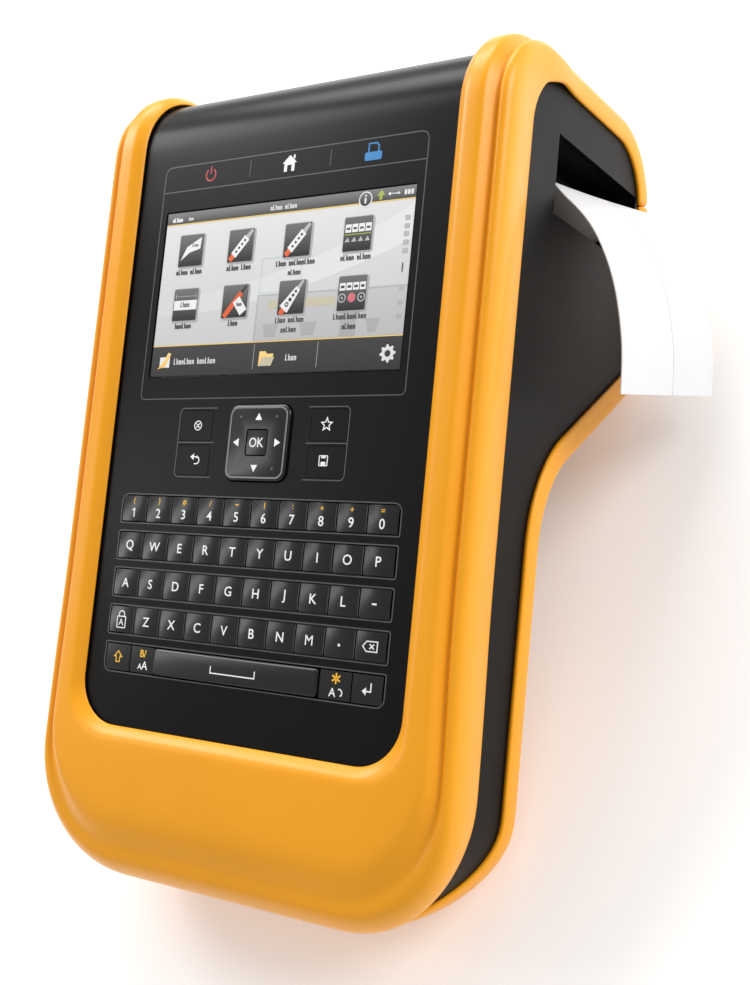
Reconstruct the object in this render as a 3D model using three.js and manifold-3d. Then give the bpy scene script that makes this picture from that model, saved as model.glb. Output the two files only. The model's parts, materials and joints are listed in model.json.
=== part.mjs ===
// A hand-held label maker: a yellow ribbed frame around a black face with a colour screen and a
// letter keypad, a slim grip, and a deep head that holds a 54 mm label cassette, its print
// mechanism and a cutter. Millimetres.
//
// Every piece is drawn in the device's own axes: X across the face, Y up the face and Z out of it,
// with zero on the face, at the foot of the digit keys. The whole device then lies on its back.
import * as THREE from "three";
import { mergeVertices } from "three/addons/utils/BufferGeometryUtils.js";
import Module from "manifold-3d";

// ---------------------------------------------------------------- driving dimensions
const TILT = THREE.MathUtils.degToRad(22); // face to table, as it lies on its rubber feet
const GAP = 0.3; // between a piece and the opening it fills
const WALL = 2.5; // moulded walls

// Side view, as [y, z, corner radius], anticlockwise with y to the right and z up.
const CHIN_Y = -107;
const GRIP_END_Y = -107;
const TOP_Y = 145;
const RIM_Z = 3.5; // crest of the frame over the face
const GRIP_Z = -45;
const HEAD_Z = -106;
const HEAD_FOOT_Y = 60.6; // where the head's back would meet its lower slope
const GRIP_TOP_Y = 18.9; // where that slope would meet the grip's back
const sideView = (endY) => [
  [endY, RIM_Z, 12],
  [endY, GRIP_Z, 20],
  [GRIP_TOP_Y, GRIP_Z, 34],
  [HEAD_FOOT_Y, HEAD_Z, 12],
  [TOP_Y, HEAD_Z, 28],
  [TOP_Y, RIM_Z, 26],
];

const RIB = { inner: 69, outer: 75, step: 2.5 }; // half widths of the two ribs, and the drop between
const BAND = { x: 71.5, flange: 69, width: 9 }; // the yellow band seen from the side
const PARTING_Z = -18.5; // where the frame's sides end and the black side panels show
const FACE = { x: 58, bottom: -62, corner: 14 }; // opening for the black face
const SIDE_PANEL = { x: 68.6, inner: 66.2 };
const DOOR = { bottom: 66.3, top: 121.2, depth: 9.3 };
const HINGE = { y: 68.6, z: -103.6, pin: 1.2, knuckle: 2.3 };

const SCREEN = { x: 46.2, bottom: 45, top: 97.4 };
const KEY = { pitch: 10.15, count: 10, height: 8, row: 11.4, top: 0.6, gap: 0.4 };
const FIRST_ROW_TOP = 7.9;
const WEB = { top: -3.4, bottom: -4.6 }; // rubber web that joins the keys of a row, under the face
const NAV = { y: 24.5, half: 11.4, ok: 3.6 };
const SIDE_KEY = { x: 24.6, width: 12.6, height: 9, step: 10.6 };

const TAPE = { width: 54, z: -67.4, y: 106, thick: 0.4 }; // label tape, its middle and its level
const EXIT = { x: 54, bottom: 98.6, top: 122.5, near: -37, far: -95.3 }; // recess the label leaves by
const PLATEN = { x: 42, r: 6 };
const MODULE = 1; // gears
const GEAR_Z = { back: -34.6, front: -31.2 };
const PLATE_Z = { back: -38, front: -36 }; // the mechanism's chassis plate
const SCREW_X = 62.5;
const SCREW_Y = [-58, -12];
const FOOT = { width: 10, below: 3.2 };

const paint = (color, roughness, metalness = 0) => ({ color, roughness, metalness });
const YELLOW = paint(0xf5a81c, 0.42);
const BLACK = paint(0x1d1c1c, 0.35);
const MATT_BLACK = paint(0x1f1e1d, 0.6);
const RUBBER = paint(0x151515, 0.85);
const GREY = paint(0x8d9094, 0.6);
const STEEL = paint(0xb9bcc0, 0.35, 1);
const BOARD = paint(0x1c5a34, 0.55);
const WHITE = paint(0xf3f3f1, 0.5);
const LENS = paint(0x3a3f45, 0.1);

// ---------------------------------------------------------------- outlines
// Closed outline with rounded corners, from [u, v, radius] corners.
function rounded(corners) {
  const shape = new THREE.Shape();
  const count = corners.length;
  corners.forEach(([u, v, radius = 0], i) => {
    const here = new THREE.Vector2(u, v);
    const before = new THREE.Vector2(...corners[(i + count - 1) % count]).sub(here).normalize();
    const after = new THREE.Vector2(...corners[(i + 1) % count]).sub(here).normalize();
    const half = Math.acos(THREE.MathUtils.clamp(before.dot(after), -1, 1)) / 2;
    const start = here.clone().addScaledVector(before, radius / Math.tan(half));
    if (i === 0) shape.moveTo(start.x, start.y);
    else shape.lineTo(start.x, start.y);
    if (radius <= 0) return;
    const middle = before.clone().add(after).normalize().multiplyScalar(radius / Math.sin(half));
    const centre = here.clone().add(middle);
    const end = here.clone().addScaledVector(after, radius / Math.tan(half));
    const from = Math.atan2(start.y - centre.y, start.x - centre.x);
    const to = Math.atan2(end.y - centre.y, end.x - centre.x);
    shape.absarc(centre.x, centre.y, radius, from, to, before.cross(after) > 0);
  });
  shape.closePath();
  return shape;
}

// The same corners moved inwards by d; the outline runs anticlockwise.
function inset(corners, d) {
  const count = corners.length;
  return corners.map(([u, v, radius], i) => {
    const here = new THREE.Vector2(u, v);
    const into = here.clone().sub(new THREE.Vector2(...corners[(i + count - 1) % count])).normalize();
    const out = new THREE.Vector2(...corners[(i + 1) % count]).sub(here).normalize();
    const turn = into.cross(out);
    const shift = d * Math.tan(Math.acos(THREE.MathUtils.clamp(into.dot(out), -1, 1)) / 2);
    const normal = new THREE.Vector2(-into.y, into.x);
    here.addScaledVector(normal, d).addScaledVector(into, -Math.sign(turn) * shift);
    return [here.x, here.y, Math.max(radius - Math.sign(turn) * d, 0.5)];
  });
}

const rectangle = (x0, x1, y0, y1, r = 0) =>
  rounded([
    [x0, y0, r],
    [x1, y0, r],
    [x1, y1, r],
    [x0, y1, r],
  ]);

// Plan of a shell: straight sides, open past the top, rounded at the foot.
const plan = (halfWidth, footY, corner) =>
  rounded([
    [-halfWidth, footY, corner],
    [halfWidth, footY, corner],
    [halfWidth, TOP_Y + 20, 0],
    [-halfWidth, TOP_Y + 20, 0],
  ]);

// ---------------------------------------------------------------- solids
const wasm = await Module();
wasm.setup();

function solid(geometry) {
  const bare = geometry.index ? geometry.toNonIndexed() : geometry;
  bare.deleteAttribute("normal");
  bare.deleteAttribute("uv");
  const merged = mergeVertices(bare, 1e-4);
  const vertProperties = new Float32Array(merged.attributes.position.array);
  const triVerts = new Uint32Array(merged.index.array);
  return new wasm.Manifold(new wasm.Mesh({ numProp: 3, vertProperties, triVerts }));
}

const ALONG_X = new THREE.Matrix4().makeBasis(
  new THREE.Vector3(0, 1, 0),
  new THREE.Vector3(0, 0, 1),
  new THREE.Vector3(1, 0, 0),
);
const extruded = (shape, depth, curveSegments) =>
  new THREE.ExtrudeGeometry(shape, { depth, bevelEnabled: false, curveSegments });
// An outline in X and Y, drawn out between two heights.
const slab = (shape, z0, z1, curveSegments = 5) =>
  solid(extruded(shape, z1 - z0, curveSegments).translate(0, 0, z0));
// An outline in Y and Z, drawn out across the device.
const bar = (corners, x0, x1, curveSegments = 8) =>
  solid(extruded(rounded(corners), x1 - x0, curveSegments).applyMatrix4(ALONG_X).translate(x0, 0, 0));
const block = (x0, x1, y0, y1, z0, z1) =>
  solid(
    new THREE.BoxGeometry(x1 - x0, y1 - y0, z1 - z0)
      .translate((x0 + x1) / 2, (y0 + y1) / 2, (z0 + z1) / 2),
  );
const rod = (x, y, r, z0, z1, sides = 16) =>
  solid(
    new THREE.CylinderGeometry(r, r, z1 - z0, sides)
      .rotateX(Math.PI / 2)
      .translate(x, y, (z0 + z1) / 2),
  );
const crossRod = (y, z, r, x0, x1, sides = 16) =>
  solid(
    new THREE.CylinderGeometry(r, r, x1 - x0, sides)
      .rotateZ(Math.PI / 2)
      .translate((x0 + x1) / 2, y, z),
  );
const join = (first, ...rest) => rest.reduce((sum, next) => sum.add(next), first);
const cut = (first, ...rest) => rest.reduce((sum, next) => sum.subtract(next), first);
const both = (make) => [make(-1), make(1)]; // a left piece and a right piece
const span = (side, a, b) => (side > 0 ? [a, b] : [-b, -a]); // an X range on one side

const device = new THREE.Group();
function place(name, body, look) {
  const { vertProperties, triVerts } = body.getMesh();
  const geometry = new THREE.BufferGeometry();
  geometry.setAttribute("position", new THREE.BufferAttribute(vertProperties, 3));
  geometry.setIndex(new THREE.BufferAttribute(triVerts, 1));
  geometry.computeVertexNormals();
  const mesh = new THREE.Mesh(geometry, new THREE.MeshStandardMaterial(look));
  mesh.name = name;
  device.add(mesh);
}

// ---------------------------------------------------------------- shells
const CHIN_BACK_Z = -12.5;
const wholeSide = sideView(CHIN_Y);
const rearSide = sideView(GRIP_END_Y);
const shellInside = bar(inset(wholeSide, 3.2), -BAND.flange, BAND.flange);
const rearInside = bar(inset(rearSide, 3), -BAND.flange, BAND.flange);
const bosses = SCREW_Y.flatMap((y) => both((s) => [s * SCREW_X, y]));

// Frame: two stepped ribs down each side, over the top and on to the door, and a chin.
function frontHousing() {
  const crest = bar(wholeSide, -RIB.inner, RIB.inner)
    .intersect(slab(plan(RIB.inner, CHIN_Y, 30), -120, 20));
  const side = bar(inset(wholeSide, RIB.step), -RIB.outer, RIB.outer)
    .intersect(slab(plan(RIB.outer, CHIN_Y, 35), -120, 20));
  const narrowed = bar(wholeSide, -BAND.x, BAND.x).intersect(block(-80, 80, 0, 160, -120, -34));
  const outside = join(crest, side.intersect(block(-80, 80, -120, 160, -34, 20)), narrowed);
  const faceOpening = slab(
    rounded([
      [-FACE.x, FACE.bottom, FACE.corner],
      [FACE.x, FACE.bottom, FACE.corner],
      [FACE.x, 170, 0],
      [-FACE.x, 170, 0],
    ]),
    -120,
    20,
  );
  const window = bar(inset(wholeSide, BAND.width), -90, 90);
  const inside = shellInside.intersect(slab(plan(BAND.flange, CHIN_Y + 4, 28), -120, 0.4));
  const keep = join(
    block(-80, 80, -120, 160, PARTING_Z, 20),
    block(-80, 80, DOOR.top + GAP, 160, -120, PARTING_Z + 1),
  );
  const body = cut(
    outside.intersect(keep),
    faceOpening,
    inside,
    window.intersect(block(-90, 90, -120, 160, -120, PARTING_Z)),
    block(-80, 80, -120, -88, -30, CHIN_BACK_Z),
  );
  const posts = bosses.map(([x, y]) => rod(x, y, 2.9, -40.6, 1.5, 16));
  const pilots = bosses.map(([x, y]) => rod(x, y, 1.5, -41, -28, 12));
  return cut(join(body, ...posts), ...pilots);
}
place("front_housing", frontHousing(), YELLOW);

// Rear shell: yellow rails that follow the side view from the grip's end to the door.
const REAR_OPENING = { x: 46.5, bottom: -79 };
function rearHousing() {
  const outside = bar(rearSide, -BAND.x, BAND.x)
    .intersect(slab(plan(BAND.x, GRIP_END_Y, 33), -120, CHIN_BACK_Z - GAP))
    .intersect(block(-80, 80, -120, DOOR.bottom - GAP, -120, 0));
  const body = cut(
    outside,
    rearInside.intersect(slab(plan(BAND.flange, GRIP_END_Y + 3, 30), -120, 20)),
    bar(inset(rearSide, BAND.width), -90, 90).intersect(block(-90, 90, -84, 160, -120, 0)),
    block(-90, 90, -88, 40, -37.5, 0),
    block(-REAR_OPENING.x, REAR_OPENING.x, REAR_OPENING.bottom, 90, -120, -36),
    block(-80, 80, -120, -88, CHIN_BACK_Z - 1.5, 0).intersect(block(-80, 80, -96, -80, -20, 0)),
  );
  const sill = block(-66, 66, 60.5, 65.4, -98.5, -95.5); // joins the two rails under the door
  const ears = both((s) => {
    const [x0, x1] = span(s, 62.6, 65.6);
    return join(
      crossRod(HINGE.y, HINGE.z, 2.2, x0, x1),
      block(x0, x1, 60, HINGE.y, HINGE.z - 2.2, HINGE.z + 2.2),
      block(x0, x1, 60, 66, HINGE.z - 2, -96),
    ).intersect(bar(rearSide, x0, x1));
  });
  const pinHole = crossRod(HINGE.y, HINGE.z, HINGE.pin + 0.06, -70, 70);
  const trunnions = crossRod(BATTERY_HINGE.y, BATTERY_HINGE.z, 1.3, -49, 49, 12);
  const screwHoles = bosses.map(([x, y]) =>
    join(rod(x, y, 1.8, -50, -30, 16), rod(x, y, 3.3, -50, GRIP_Z + 1.4, 16)),
  );
  return cut(join(body, sill, ...ears), pinHole, trunnions, ...screwHoles);
}
const BATTERY_HINGE = { y: -75.6, z: -43.1 };
place("rear_housing", rearHousing(), YELLOW);

// Black side panels, held behind the band's flange. The right one has the label exit.
function sidePanel(side) {
  const [x0, x1] = span(side, SIDE_PANEL.inner, SIDE_PANEL.x);
  const outline = bar(inset(wholeSide, 5), x0, x1)
    .intersect(slab(plan(SIDE_PANEL.x, GRIP_END_Y + 3.4, 29.6), -120, -6));
  const doorSide = block(-80, 80, DOOR.bottom - 6, DOOR.top + GAP, -120, HEAD_Z + DOOR.depth + GAP);
  return cut(outline, doorSide);
}
place("left_side_panel", sidePanel(-1), MATT_BLACK);

function rightSidePanel() {
  const { x, bottom, top, near, far } = EXIT;
  const outerX = SIDE_PANEL.x;
  const pocket = block(x - 1.6, SIDE_PANEL.inner + 1, bottom - 1.6, top + 1.6, far - 1.2, near + 1.6);
  const hollow = slab(rectangle(x, outerX + 5, bottom, top, 0), far, near);
  const slot = block(x - 5, x + 5, TAPE.y - 3, TAPE.y + 5, far + 0.8, near - 0.8);
  return cut(join(sidePanel(1), pocket), hollow, slot);
}
place("right_side_panel", rightSidePanel(), MATT_BLACK);

// Covers between the rails: over the top, and on the slope above the grip.
function shellStrip(side, d, x, ...limits) {
  const strip = cut(bar(inset(side, d), -x, x), bar(inset(side, d + WALL), -x - 1, x + 1));
  return limits.reduce((kept, limit) => kept.intersect(limit), strip);
}
const PORT_Z = -62;
const PORTS = { usb: -18, power: 16 };
const FACE_TOP_BACK_Z = -44;
function topCover() {
  const upper = block(-90, 90, DOOR.top + GAP, 160, -120, FACE_TOP_BACK_Z - GAP);
  const strip = shellStrip(wholeSide, 3.6, FACE.x - GAP, upper);
  return cut(
    strip,
    block(PORTS.usb - 6.3, PORTS.usb + 6.3, 130, 150, PORT_Z - 3.1, PORT_Z + 3.1),
    solid(new THREE.CylinderGeometry(4.3, 4.3, 30, 20).translate(PORTS.power, 140, PORT_Z)),
  );
}
place("top_cover", topCover(), MATT_BLACK);

const slopeCover = shellStrip(
  rearSide,
  0.6,
  REAR_OPENING.x - GAP,
  block(-90, 90, 0.5, 59.5, -120, -30),
);
place("slope_cover", slopeCover, MATT_BLACK);

// ---------------------------------------------------------------- face
const rowTop = (row) => FIRST_ROW_TOP - row * KEY.row;
const SPACE_BAR = { left: -30.9, right: 29.8 };
const rowHalf = (KEY.pitch * KEY.count) / 2;
const keyWindow = (x0, x1, y0, y1) =>
  slab(rectangle(x0 - GAP, x1 + GAP, y0 - GAP, y1 + GAP), -10, 10);

const sideKeyPlaces = {
  cancel_key: [-SIDE_KEY.x, NAV.y + SIDE_KEY.step / 2],
  back_key: [-SIDE_KEY.x, NAV.y - SIDE_KEY.step / 2],
  favourite_key: [SIDE_KEY.x, NAV.y + SIDE_KEY.step / 2],
  save_key: [SIDE_KEY.x, NAV.y - SIDE_KEY.step / 2],
};
const sideKeyBox = ([x, y], grow = 0) => [
  x - SIDE_KEY.width / 2 - grow,
  x + SIDE_KEY.width / 2 + grow,
  y - SIDE_KEY.height / 2 - grow,
  y + SIDE_KEY.height / 2 + grow,
];

// The black face panel rolls over the top of the device, just behind the ribs.
const PANEL = { under: 1.2, thick: 2.2, top: TOP_Y - 4, roll: 22.5 };
function frontPanel() {
  const half = FACE.x + PANEL.under; // it reaches under the frame's lip
  const foot = FACE.bottom - PANEL.under;
  const outline = (d, below) => [
    [foot - below, -d, 0.1],
    [foot - below, -200, 0.1],
    [PANEL.top - d, -200, 0.1],
    [PANEL.top - d, -d, PANEL.roll - d],
  ];
  const sheet = cut(bar(outline(0, 0), -half, half), bar(outline(PANEL.thick, 1), -half - 1, half + 1));
  const front = rounded([
    [-half, foot, FACE.corner],
    [half, foot, FACE.corner],
    [half, 170, 0],
    [-half, 170, 0],
  ]);
  const skin = sheet.intersect(slab(front, FACE_TOP_BACK_Z, 10));
  const windows = [0, 1, 2, 3].map((row) =>
    keyWindow(-rowHalf, rowHalf, rowTop(row) - KEY.height, rowTop(row)),
  );
  const bottomRow = keyWindow(-rowHalf, rowHalf, rowTop(4) - KEY.height, rowTop(4));
  const nav = keyWindow(-NAV.half, NAV.half, NAV.y - NAV.half, NAV.y + NAV.half);
  const sideKeys = Object.values(sideKeyPlaces).map((place) => keyWindow(...sideKeyBox(place)));
  const screen = block(
    -SCREEN.x - GAP, SCREEN.x + GAP, SCREEN.bottom - GAP, SCREEN.top + GAP, -5, 5,
  );
  return cut(skin, ...windows, bottomRow, nav, ...sideKeys, screen);
}
place("front_panel", frontPanel(), BLACK);

place(
  "touch_lens",
  block(-SCREEN.x, SCREEN.x, SCREEN.bottom, SCREEN.top, -1.6, 0),
  LENS,
);
place("lcd_module", block(-51, 51, 42, 101, -7.2, -2.6), GREY);

// ---------------------------------------------------------------- keypad
// A cap and the shank under it; the cap's top edge is chamfered.
function keyCap(x0, x1, y0, y1, top, chamfer = 0.5) {
  const bevel = { bevelEnabled: true, bevelThickness: chamfer, bevelSize: chamfer, bevelSegments: 1 };
  const shape = rectangle(x0 + chamfer, x1 - chamfer, y0 + chamfer, y1 - chamfer);
  const cap = new THREE.ExtrudeGeometry(shape, {
    ...bevel,
    depth: top - chamfer - WEB.top + 1.2,
  });
  return solid(cap.translate(0, 0, WEB.top - 0.6))
    .intersect(block(x0, x1, y0, y1, WEB.top - 0.6, top + 1));
}

for (let row = 0; row < 4; row++) {
  const y1 = rowTop(row);
  const y0 = y1 - KEY.height;
  const caps = Array.from({ length: KEY.count }, (_, i) => {
    const x = (i - (KEY.count - 1) / 2) * KEY.pitch;
    const half = (KEY.pitch - KEY.gap) / 2;
    return keyCap(x - half, x + half, y0 + 0.1, y1 - 0.1, KEY.top);
  });
  const web = block(-rowHalf - 1, rowHalf + 1, y0 - 1, y1 + 1, WEB.bottom, WEB.top);
  place("key_row_" + (row + 1), join(web, ...caps), BLACK);
}

const bottomKeys = {
  shift_key: [-rowHalf, -rowHalf + KEY.pitch],
  font_key: [-rowHalf + KEY.pitch, SPACE_BAR.left],
  space_bar: [SPACE_BAR.left, SPACE_BAR.right],
  accent_key: [SPACE_BAR.right, rowHalf - KEY.pitch],
  enter_key: [rowHalf - KEY.pitch, rowHalf],
};
for (const [name, [x0, x1]] of Object.entries(bottomKeys)) {
  const y1 = rowTop(4) - 0.1;
  const y0 = rowTop(4) - KEY.height + 0.1;
  const half = KEY.gap / 2;
  const cap = keyCap(x0 + half, x1 - half, y0, y1, name === "space_bar" ? 1 : KEY.top);
  place(name, join(cap, block(x0 + half, x1 - half, y0 - 1, y1 + 1, WEB.bottom, WEB.top)), BLACK);
}

const NAV_TOP = 1.1;
const SEAT_Z = -3.1; // underside of the pad, on its rubber actuator
const NAV_TILT_GAP = 0.45;
function navPad() {
  const h = NAV.half - 0.15;
  const body = keyCap(-h, h, NAV.y - h, NAV.y + h, NAV_TOP, 0.9)
    .intersect(block(-20, 20, 0, 50, SEAT_Z, 5));
  const hole = NAV.ok + NAV_TILT_GAP;
  return cut(body, block(-hole, hole, NAV.y - hole, NAV.y + hole, -10, 10));
}
place("nav_pad", navPad(), BLACK);
const actuatorHole = NAV.ok + 1.2;
place(
  "nav_actuator",
  cut(
    block(-9, 9, NAV.y - 9, NAV.y + 9, -4.4, SEAT_Z - GAP - 0.1),
    block(-actuatorHole, actuatorHole, NAV.y - actuatorHole, NAV.y + actuatorHole, -10, 0),
  ),
  RUBBER,
);
place(
  "ok_key",
  keyCap(-NAV.ok, NAV.ok, NAV.y - NAV.ok, NAV.y + NAV.ok, NAV_TOP + 0.1),
  BLACK,
);
for (const [name, centre] of Object.entries(sideKeyPlaces)) {
  place(name, keyCap(...sideKeyBox(centre), 0, 0.2), BLACK);
}

place("keypad_membrane", block(-53, 53, -48, 38, -7.3, -6.1), RUBBER);
// The main board carries the key contacts on its face and the chips on its back.
const BOARD_Z = { back: -9.2, front: -7.6 };
const chip = (x, y, width, height, tall) =>
  block(x, x + width, y, y + height, BOARD_Z.back - tall, BOARD_Z.back + 0.4);
place(
  "main_board",
  join(
    block(-54, 54, -52, 40, BOARD_Z.back, BOARD_Z.front),
    chip(-22, 2, 18, 18, 1.6),
    chip(12, -20, 14, 12, 1.4),
    chip(-46, -44, 16, 10, 2.6),
    chip(28, 14, 9, 16, 4),
  ),
  BOARD,
);

// ---------------------------------------------------------------- print mechanism
// Spur gear with straight-flanked teeth, a little thin so that the pairs run free.
function gear(x, y, teeth, turn, z0, z1, bore) {
  const pitch = (teeth * MODULE) / 2;
  const shape = new THREE.Shape();
  const flanks = [
    [-0.36, pitch - 1.15 * MODULE],
    [-0.105, pitch + 0.8 * MODULE],
    [0.105, pitch + 0.8 * MODULE],
    [0.36, pitch - 1.15 * MODULE],
  ];
  for (let tooth = 0; tooth < teeth; tooth++) {
    for (const [share, radius] of flanks) {
      const angle = turn + ((tooth + share) * 2 * Math.PI) / teeth;
      shape.lineTo(radius * Math.cos(angle), radius * Math.sin(angle));
    }
  }
  shape.closePath();
  const wheel = slab(shape, z0, z1).translate([x, y, 0]);
  return bore ? cut(wheel, rod(x, y, bore, z0 - 1, z1 + 1)) : wheel;
}

const TEETH = { platen: 18, idler: 22, pinion: 8, ribbon: 34 };
const pitchSum = (a, b) => ((a + b) * MODULE) / 2 + 0.12; // centre distance, with running clearance
const platenAxis = { x: PLATEN.x, y: TAPE.y - TAPE.thick / 2 - GAP - PLATEN.r };
const turned = (from, distance, degrees) => ({
  x: from.x + distance * Math.cos(THREE.MathUtils.degToRad(degrees)),
  y: from.y + distance * Math.sin(THREE.MathUtils.degToRad(degrees)),
});
const DIRECTION = { idler: 217, pinion: 217, ribbon: 134 };
const idlerAxis = turned(platenAxis, pitchSum(TEETH.platen, TEETH.idler), DIRECTION.idler);
const pinionAxis = turned(idlerAxis, pitchSum(TEETH.idler, TEETH.pinion), DIRECTION.pinion);
const ribbonAxis = turned(platenAxis, pitchSum(TEETH.platen, TEETH.ribbon), DIRECTION.ribbon);
// A follower is turned so that one of its gaps faces a tooth of the gear that drives it.
function meshed(teeth, direction, driverTeeth, driverTurn) {
  const toFollower = THREE.MathUtils.degToRad(direction);
  const driverPhase = ((toFollower - driverTurn) * driverTeeth) / (2 * Math.PI);
  const back = toFollower + Math.PI;
  return back + ((driverPhase - Math.floor(driverPhase) - 0.5) * 2 * Math.PI) / teeth;
}
const idlerTurn = meshed(TEETH.idler, DIRECTION.idler, TEETH.platen, 0);
const pinionTurn = meshed(TEETH.pinion, DIRECTION.pinion, TEETH.idler, idlerTurn);
const ribbonTurn = meshed(TEETH.ribbon, DIRECTION.ribbon, TEETH.platen, 0);

const BAY_BACK_Z = -97.5;
const SHAFT = 1.6;
const RUNNING = 0.06; // radial clearance of a shaft in its bearing
const MOTOR = { r: 13, back: -30.4, front: -16 };
const CASE = { left: -48, right: 31.5, bottom: 69, top: 126.5, back: -96.8, front: -38.6, wall: 1.4 };
const TAPE_SPOOL = { x: -20, y: 94, r: 21, hub: 6 };
const RIBBON_SUPPLY_R = 6;

function chassis() {
  const plate = slab(rectangle(-56, 52, 62, 134, 4), PLATE_Z.back, PLATE_Z.front);
  const cheek = block(34, 51.5, platenAxis.y - 9, TAPE.y + 14, BAY_BACK_Z, BAY_BACK_Z + 1.5);
  const posts = [
    rod(36, platenAxis.y - 7, 1.8, BAY_BACK_Z + 1, PLATE_Z.back + 1, 12),
    rod(49.5, platenAxis.y - 7, 1.8, BAY_BACK_Z + 1, PLATE_Z.back + 1, 12),
    rod(36, TAPE.y + 12, 1.8, BAY_BACK_Z + 1, PLATE_Z.back + 1, 12),
  ];
  const idlerPost = rod(idlerAxis.x, idlerAxis.y, 1.5, PLATE_Z.front - 1, GEAR_Z.front + 0.6, 16);
  return cut(
    join(plate, cheek, ...posts, idlerPost),
    rod(platenAxis.x, platenAxis.y, SHAFT + RUNNING, -120, 0),
    rod(ribbonAxis.x, ribbonAxis.y, SHAFT + RUNNING, -60, 0),
  );
}
place("mechanism_frame", chassis(), STEEL);

const platenShaft = rod(platenAxis.x, platenAxis.y, SHAFT, BAY_BACK_Z - 0.8, GEAR_Z.front + 1, 20);
place("platen_shaft", platenShaft, STEEL);
const RUBBER_SPAN = [TAPE.z - TAPE.width / 2 - 0.6, TAPE.z + TAPE.width / 2 + 0.6];
place(
  "platen_roller",
  cut(
    rod(platenAxis.x, platenAxis.y, PLATEN.r, ...RUBBER_SPAN, 32),
    rod(platenAxis.x, platenAxis.y, SHAFT + 0.3, -120, 0, 20),
  ),
  RUBBER,
);
place(
  "platen_gear",
  gear(platenAxis.x, platenAxis.y, TEETH.platen, 0, GEAR_Z.back, GEAR_Z.front, SHAFT + 0.3),
  WHITE,
);
place(
  "idler_gear",
  gear(idlerAxis.x, idlerAxis.y, TEETH.idler, idlerTurn, GEAR_Z.back, GEAR_Z.front, 1.5 + RUNNING),
  WHITE,
);
place(
  "motor_pinion",
  join(
    gear(pinionAxis.x, pinionAxis.y, TEETH.pinion, pinionTurn, GEAR_Z.back, GEAR_Z.front, 0),
    rod(pinionAxis.x, pinionAxis.y, 1.2, GEAR_Z.front - 0.5, MOTOR.back + 6, 16),
  ),
  STEEL,
);
const motorBody = cut(
  join(
    rod(pinionAxis.x, pinionAxis.y, MOTOR.r, MOTOR.back, MOTOR.front, 32),
    block(pinionAxis.x - 18, pinionAxis.x + 18, pinionAxis.y - 4, pinionAxis.y + 4,
      MOTOR.back, MOTOR.back + 1.5),
  ),
  rod(pinionAxis.x, pinionAxis.y, 1.2 + RUNNING, MOTOR.back - 1, MOTOR.back + 7, 16),
);
place("feed_motor", motorBody, STEEL);

place(
  "ribbon_spindle",
  join(
    gear(ribbonAxis.x, ribbonAxis.y, TEETH.ribbon, ribbonTurn, GEAR_Z.back, GEAR_Z.front, 0),
    rod(ribbonAxis.x, ribbonAxis.y, SHAFT, -60, GEAR_Z.back + 1, 20),
    rod(ribbonAxis.x, ribbonAxis.y, 2.6, -92, PLATE_Z.back - 1.6, 6),
  ),
  WHITE,
);

const HEAD = { left: 38.5, right: 47.5, under: TAPE.y + TAPE.thick / 2 + GAP };
place(
  "print_head",
  block(HEAD.left, HEAD.right, HEAD.under, HEAD.under + 2.4, RUBBER_SPAN[0], RUBBER_SPAN[1]),
  WHITE,
);
const SINK_Y = HEAD.under + 2.4 + GAP;
place(
  "heat_sink",
  join(
    block(HEAD.left, HEAD.right, SINK_Y, SINK_Y + 2, RUBBER_SPAN[0], RUBBER_SPAN[1]),
    ...[0, 1, 2].map((fin) =>
      block(HEAD.left + 1 + fin * 3, HEAD.left + 2.4 + fin * 3, SINK_Y + 1, SINK_Y + 7,
        RUBBER_SPAN[0], RUBBER_SPAN[1]),
    ),
  ),
  STEEL,
);
// Cutter: a fixed lower blade and a guillotine blade above the tape.
place(
  "fixed_blade",
  block(49.2, 50.2, TAPE.y - 9, TAPE.y - TAPE.thick / 2 - GAP, RUBBER_SPAN[0], RUBBER_SPAN[1]),
  STEEL,
);
const BLADE_REST = TAPE.y + TAPE.thick / 2 + 4;
place(
  "cutter_blade",
  block(50.5, 51.5, BLADE_REST, BLADE_REST + 11, RUBBER_SPAN[0], RUBBER_SPAN[1]),
  STEEL,
);

// ---------------------------------------------------------------- cassette
const supplyAxis = { x: ribbonAxis.x - 22, y: ribbonAxis.y - 1 };
function cassetteCase() {
  const { left, right, bottom, top, back, front, wall } = CASE;
  const outside = slab(rectangle(left, right, bottom, top, 6), back, front);
  const inside = slab(
    rectangle(left + wall, right - wall, bottom + wall, top - wall, 5),
    back + wall,
    front - wall,
  );
  const mouth = block(right - 5, right + 5, TAPE.y - 4, TAPE.y + 8, back + wall, front - wall);
  const spindleHole = rod(ribbonAxis.x, ribbonAxis.y, 4.2, front - 5, front + 5, 20);
  const hubs = [
    rod(TAPE_SPOOL.x, TAPE_SPOOL.y, TAPE_SPOOL.hub, back + 0.5, front - 0.5, 24),
    rod(supplyAxis.x, supplyAxis.y, 2.4, back + 0.5, front - 0.5, 16),
  ];
  return join(cut(outside, inside, mouth, spindleHole), ...hubs);
}
place("cassette_case", cassetteCase(), MATT_BLACK);
const SPOOL_Z = [TAPE.z - TAPE.width / 2, TAPE.z + TAPE.width / 2];
place(
  "tape_spool",
  cut(
    rod(TAPE_SPOOL.x, TAPE_SPOOL.y, TAPE_SPOOL.r, ...SPOOL_Z, 32),
    rod(TAPE_SPOOL.x, TAPE_SPOOL.y, TAPE_SPOOL.hub + RUNNING, -120, 0, 24),
  ),
  WHITE,
);
place(
  "ribbon_supply_spool",
  cut(
    rod(supplyAxis.x, supplyAxis.y, RIBBON_SUPPLY_R, ...SPOOL_Z, 24),
    rod(supplyAxis.x, supplyAxis.y, 2.4 + RUNNING, -120, 0, 16),
  ),
  RUBBER,
);
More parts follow.
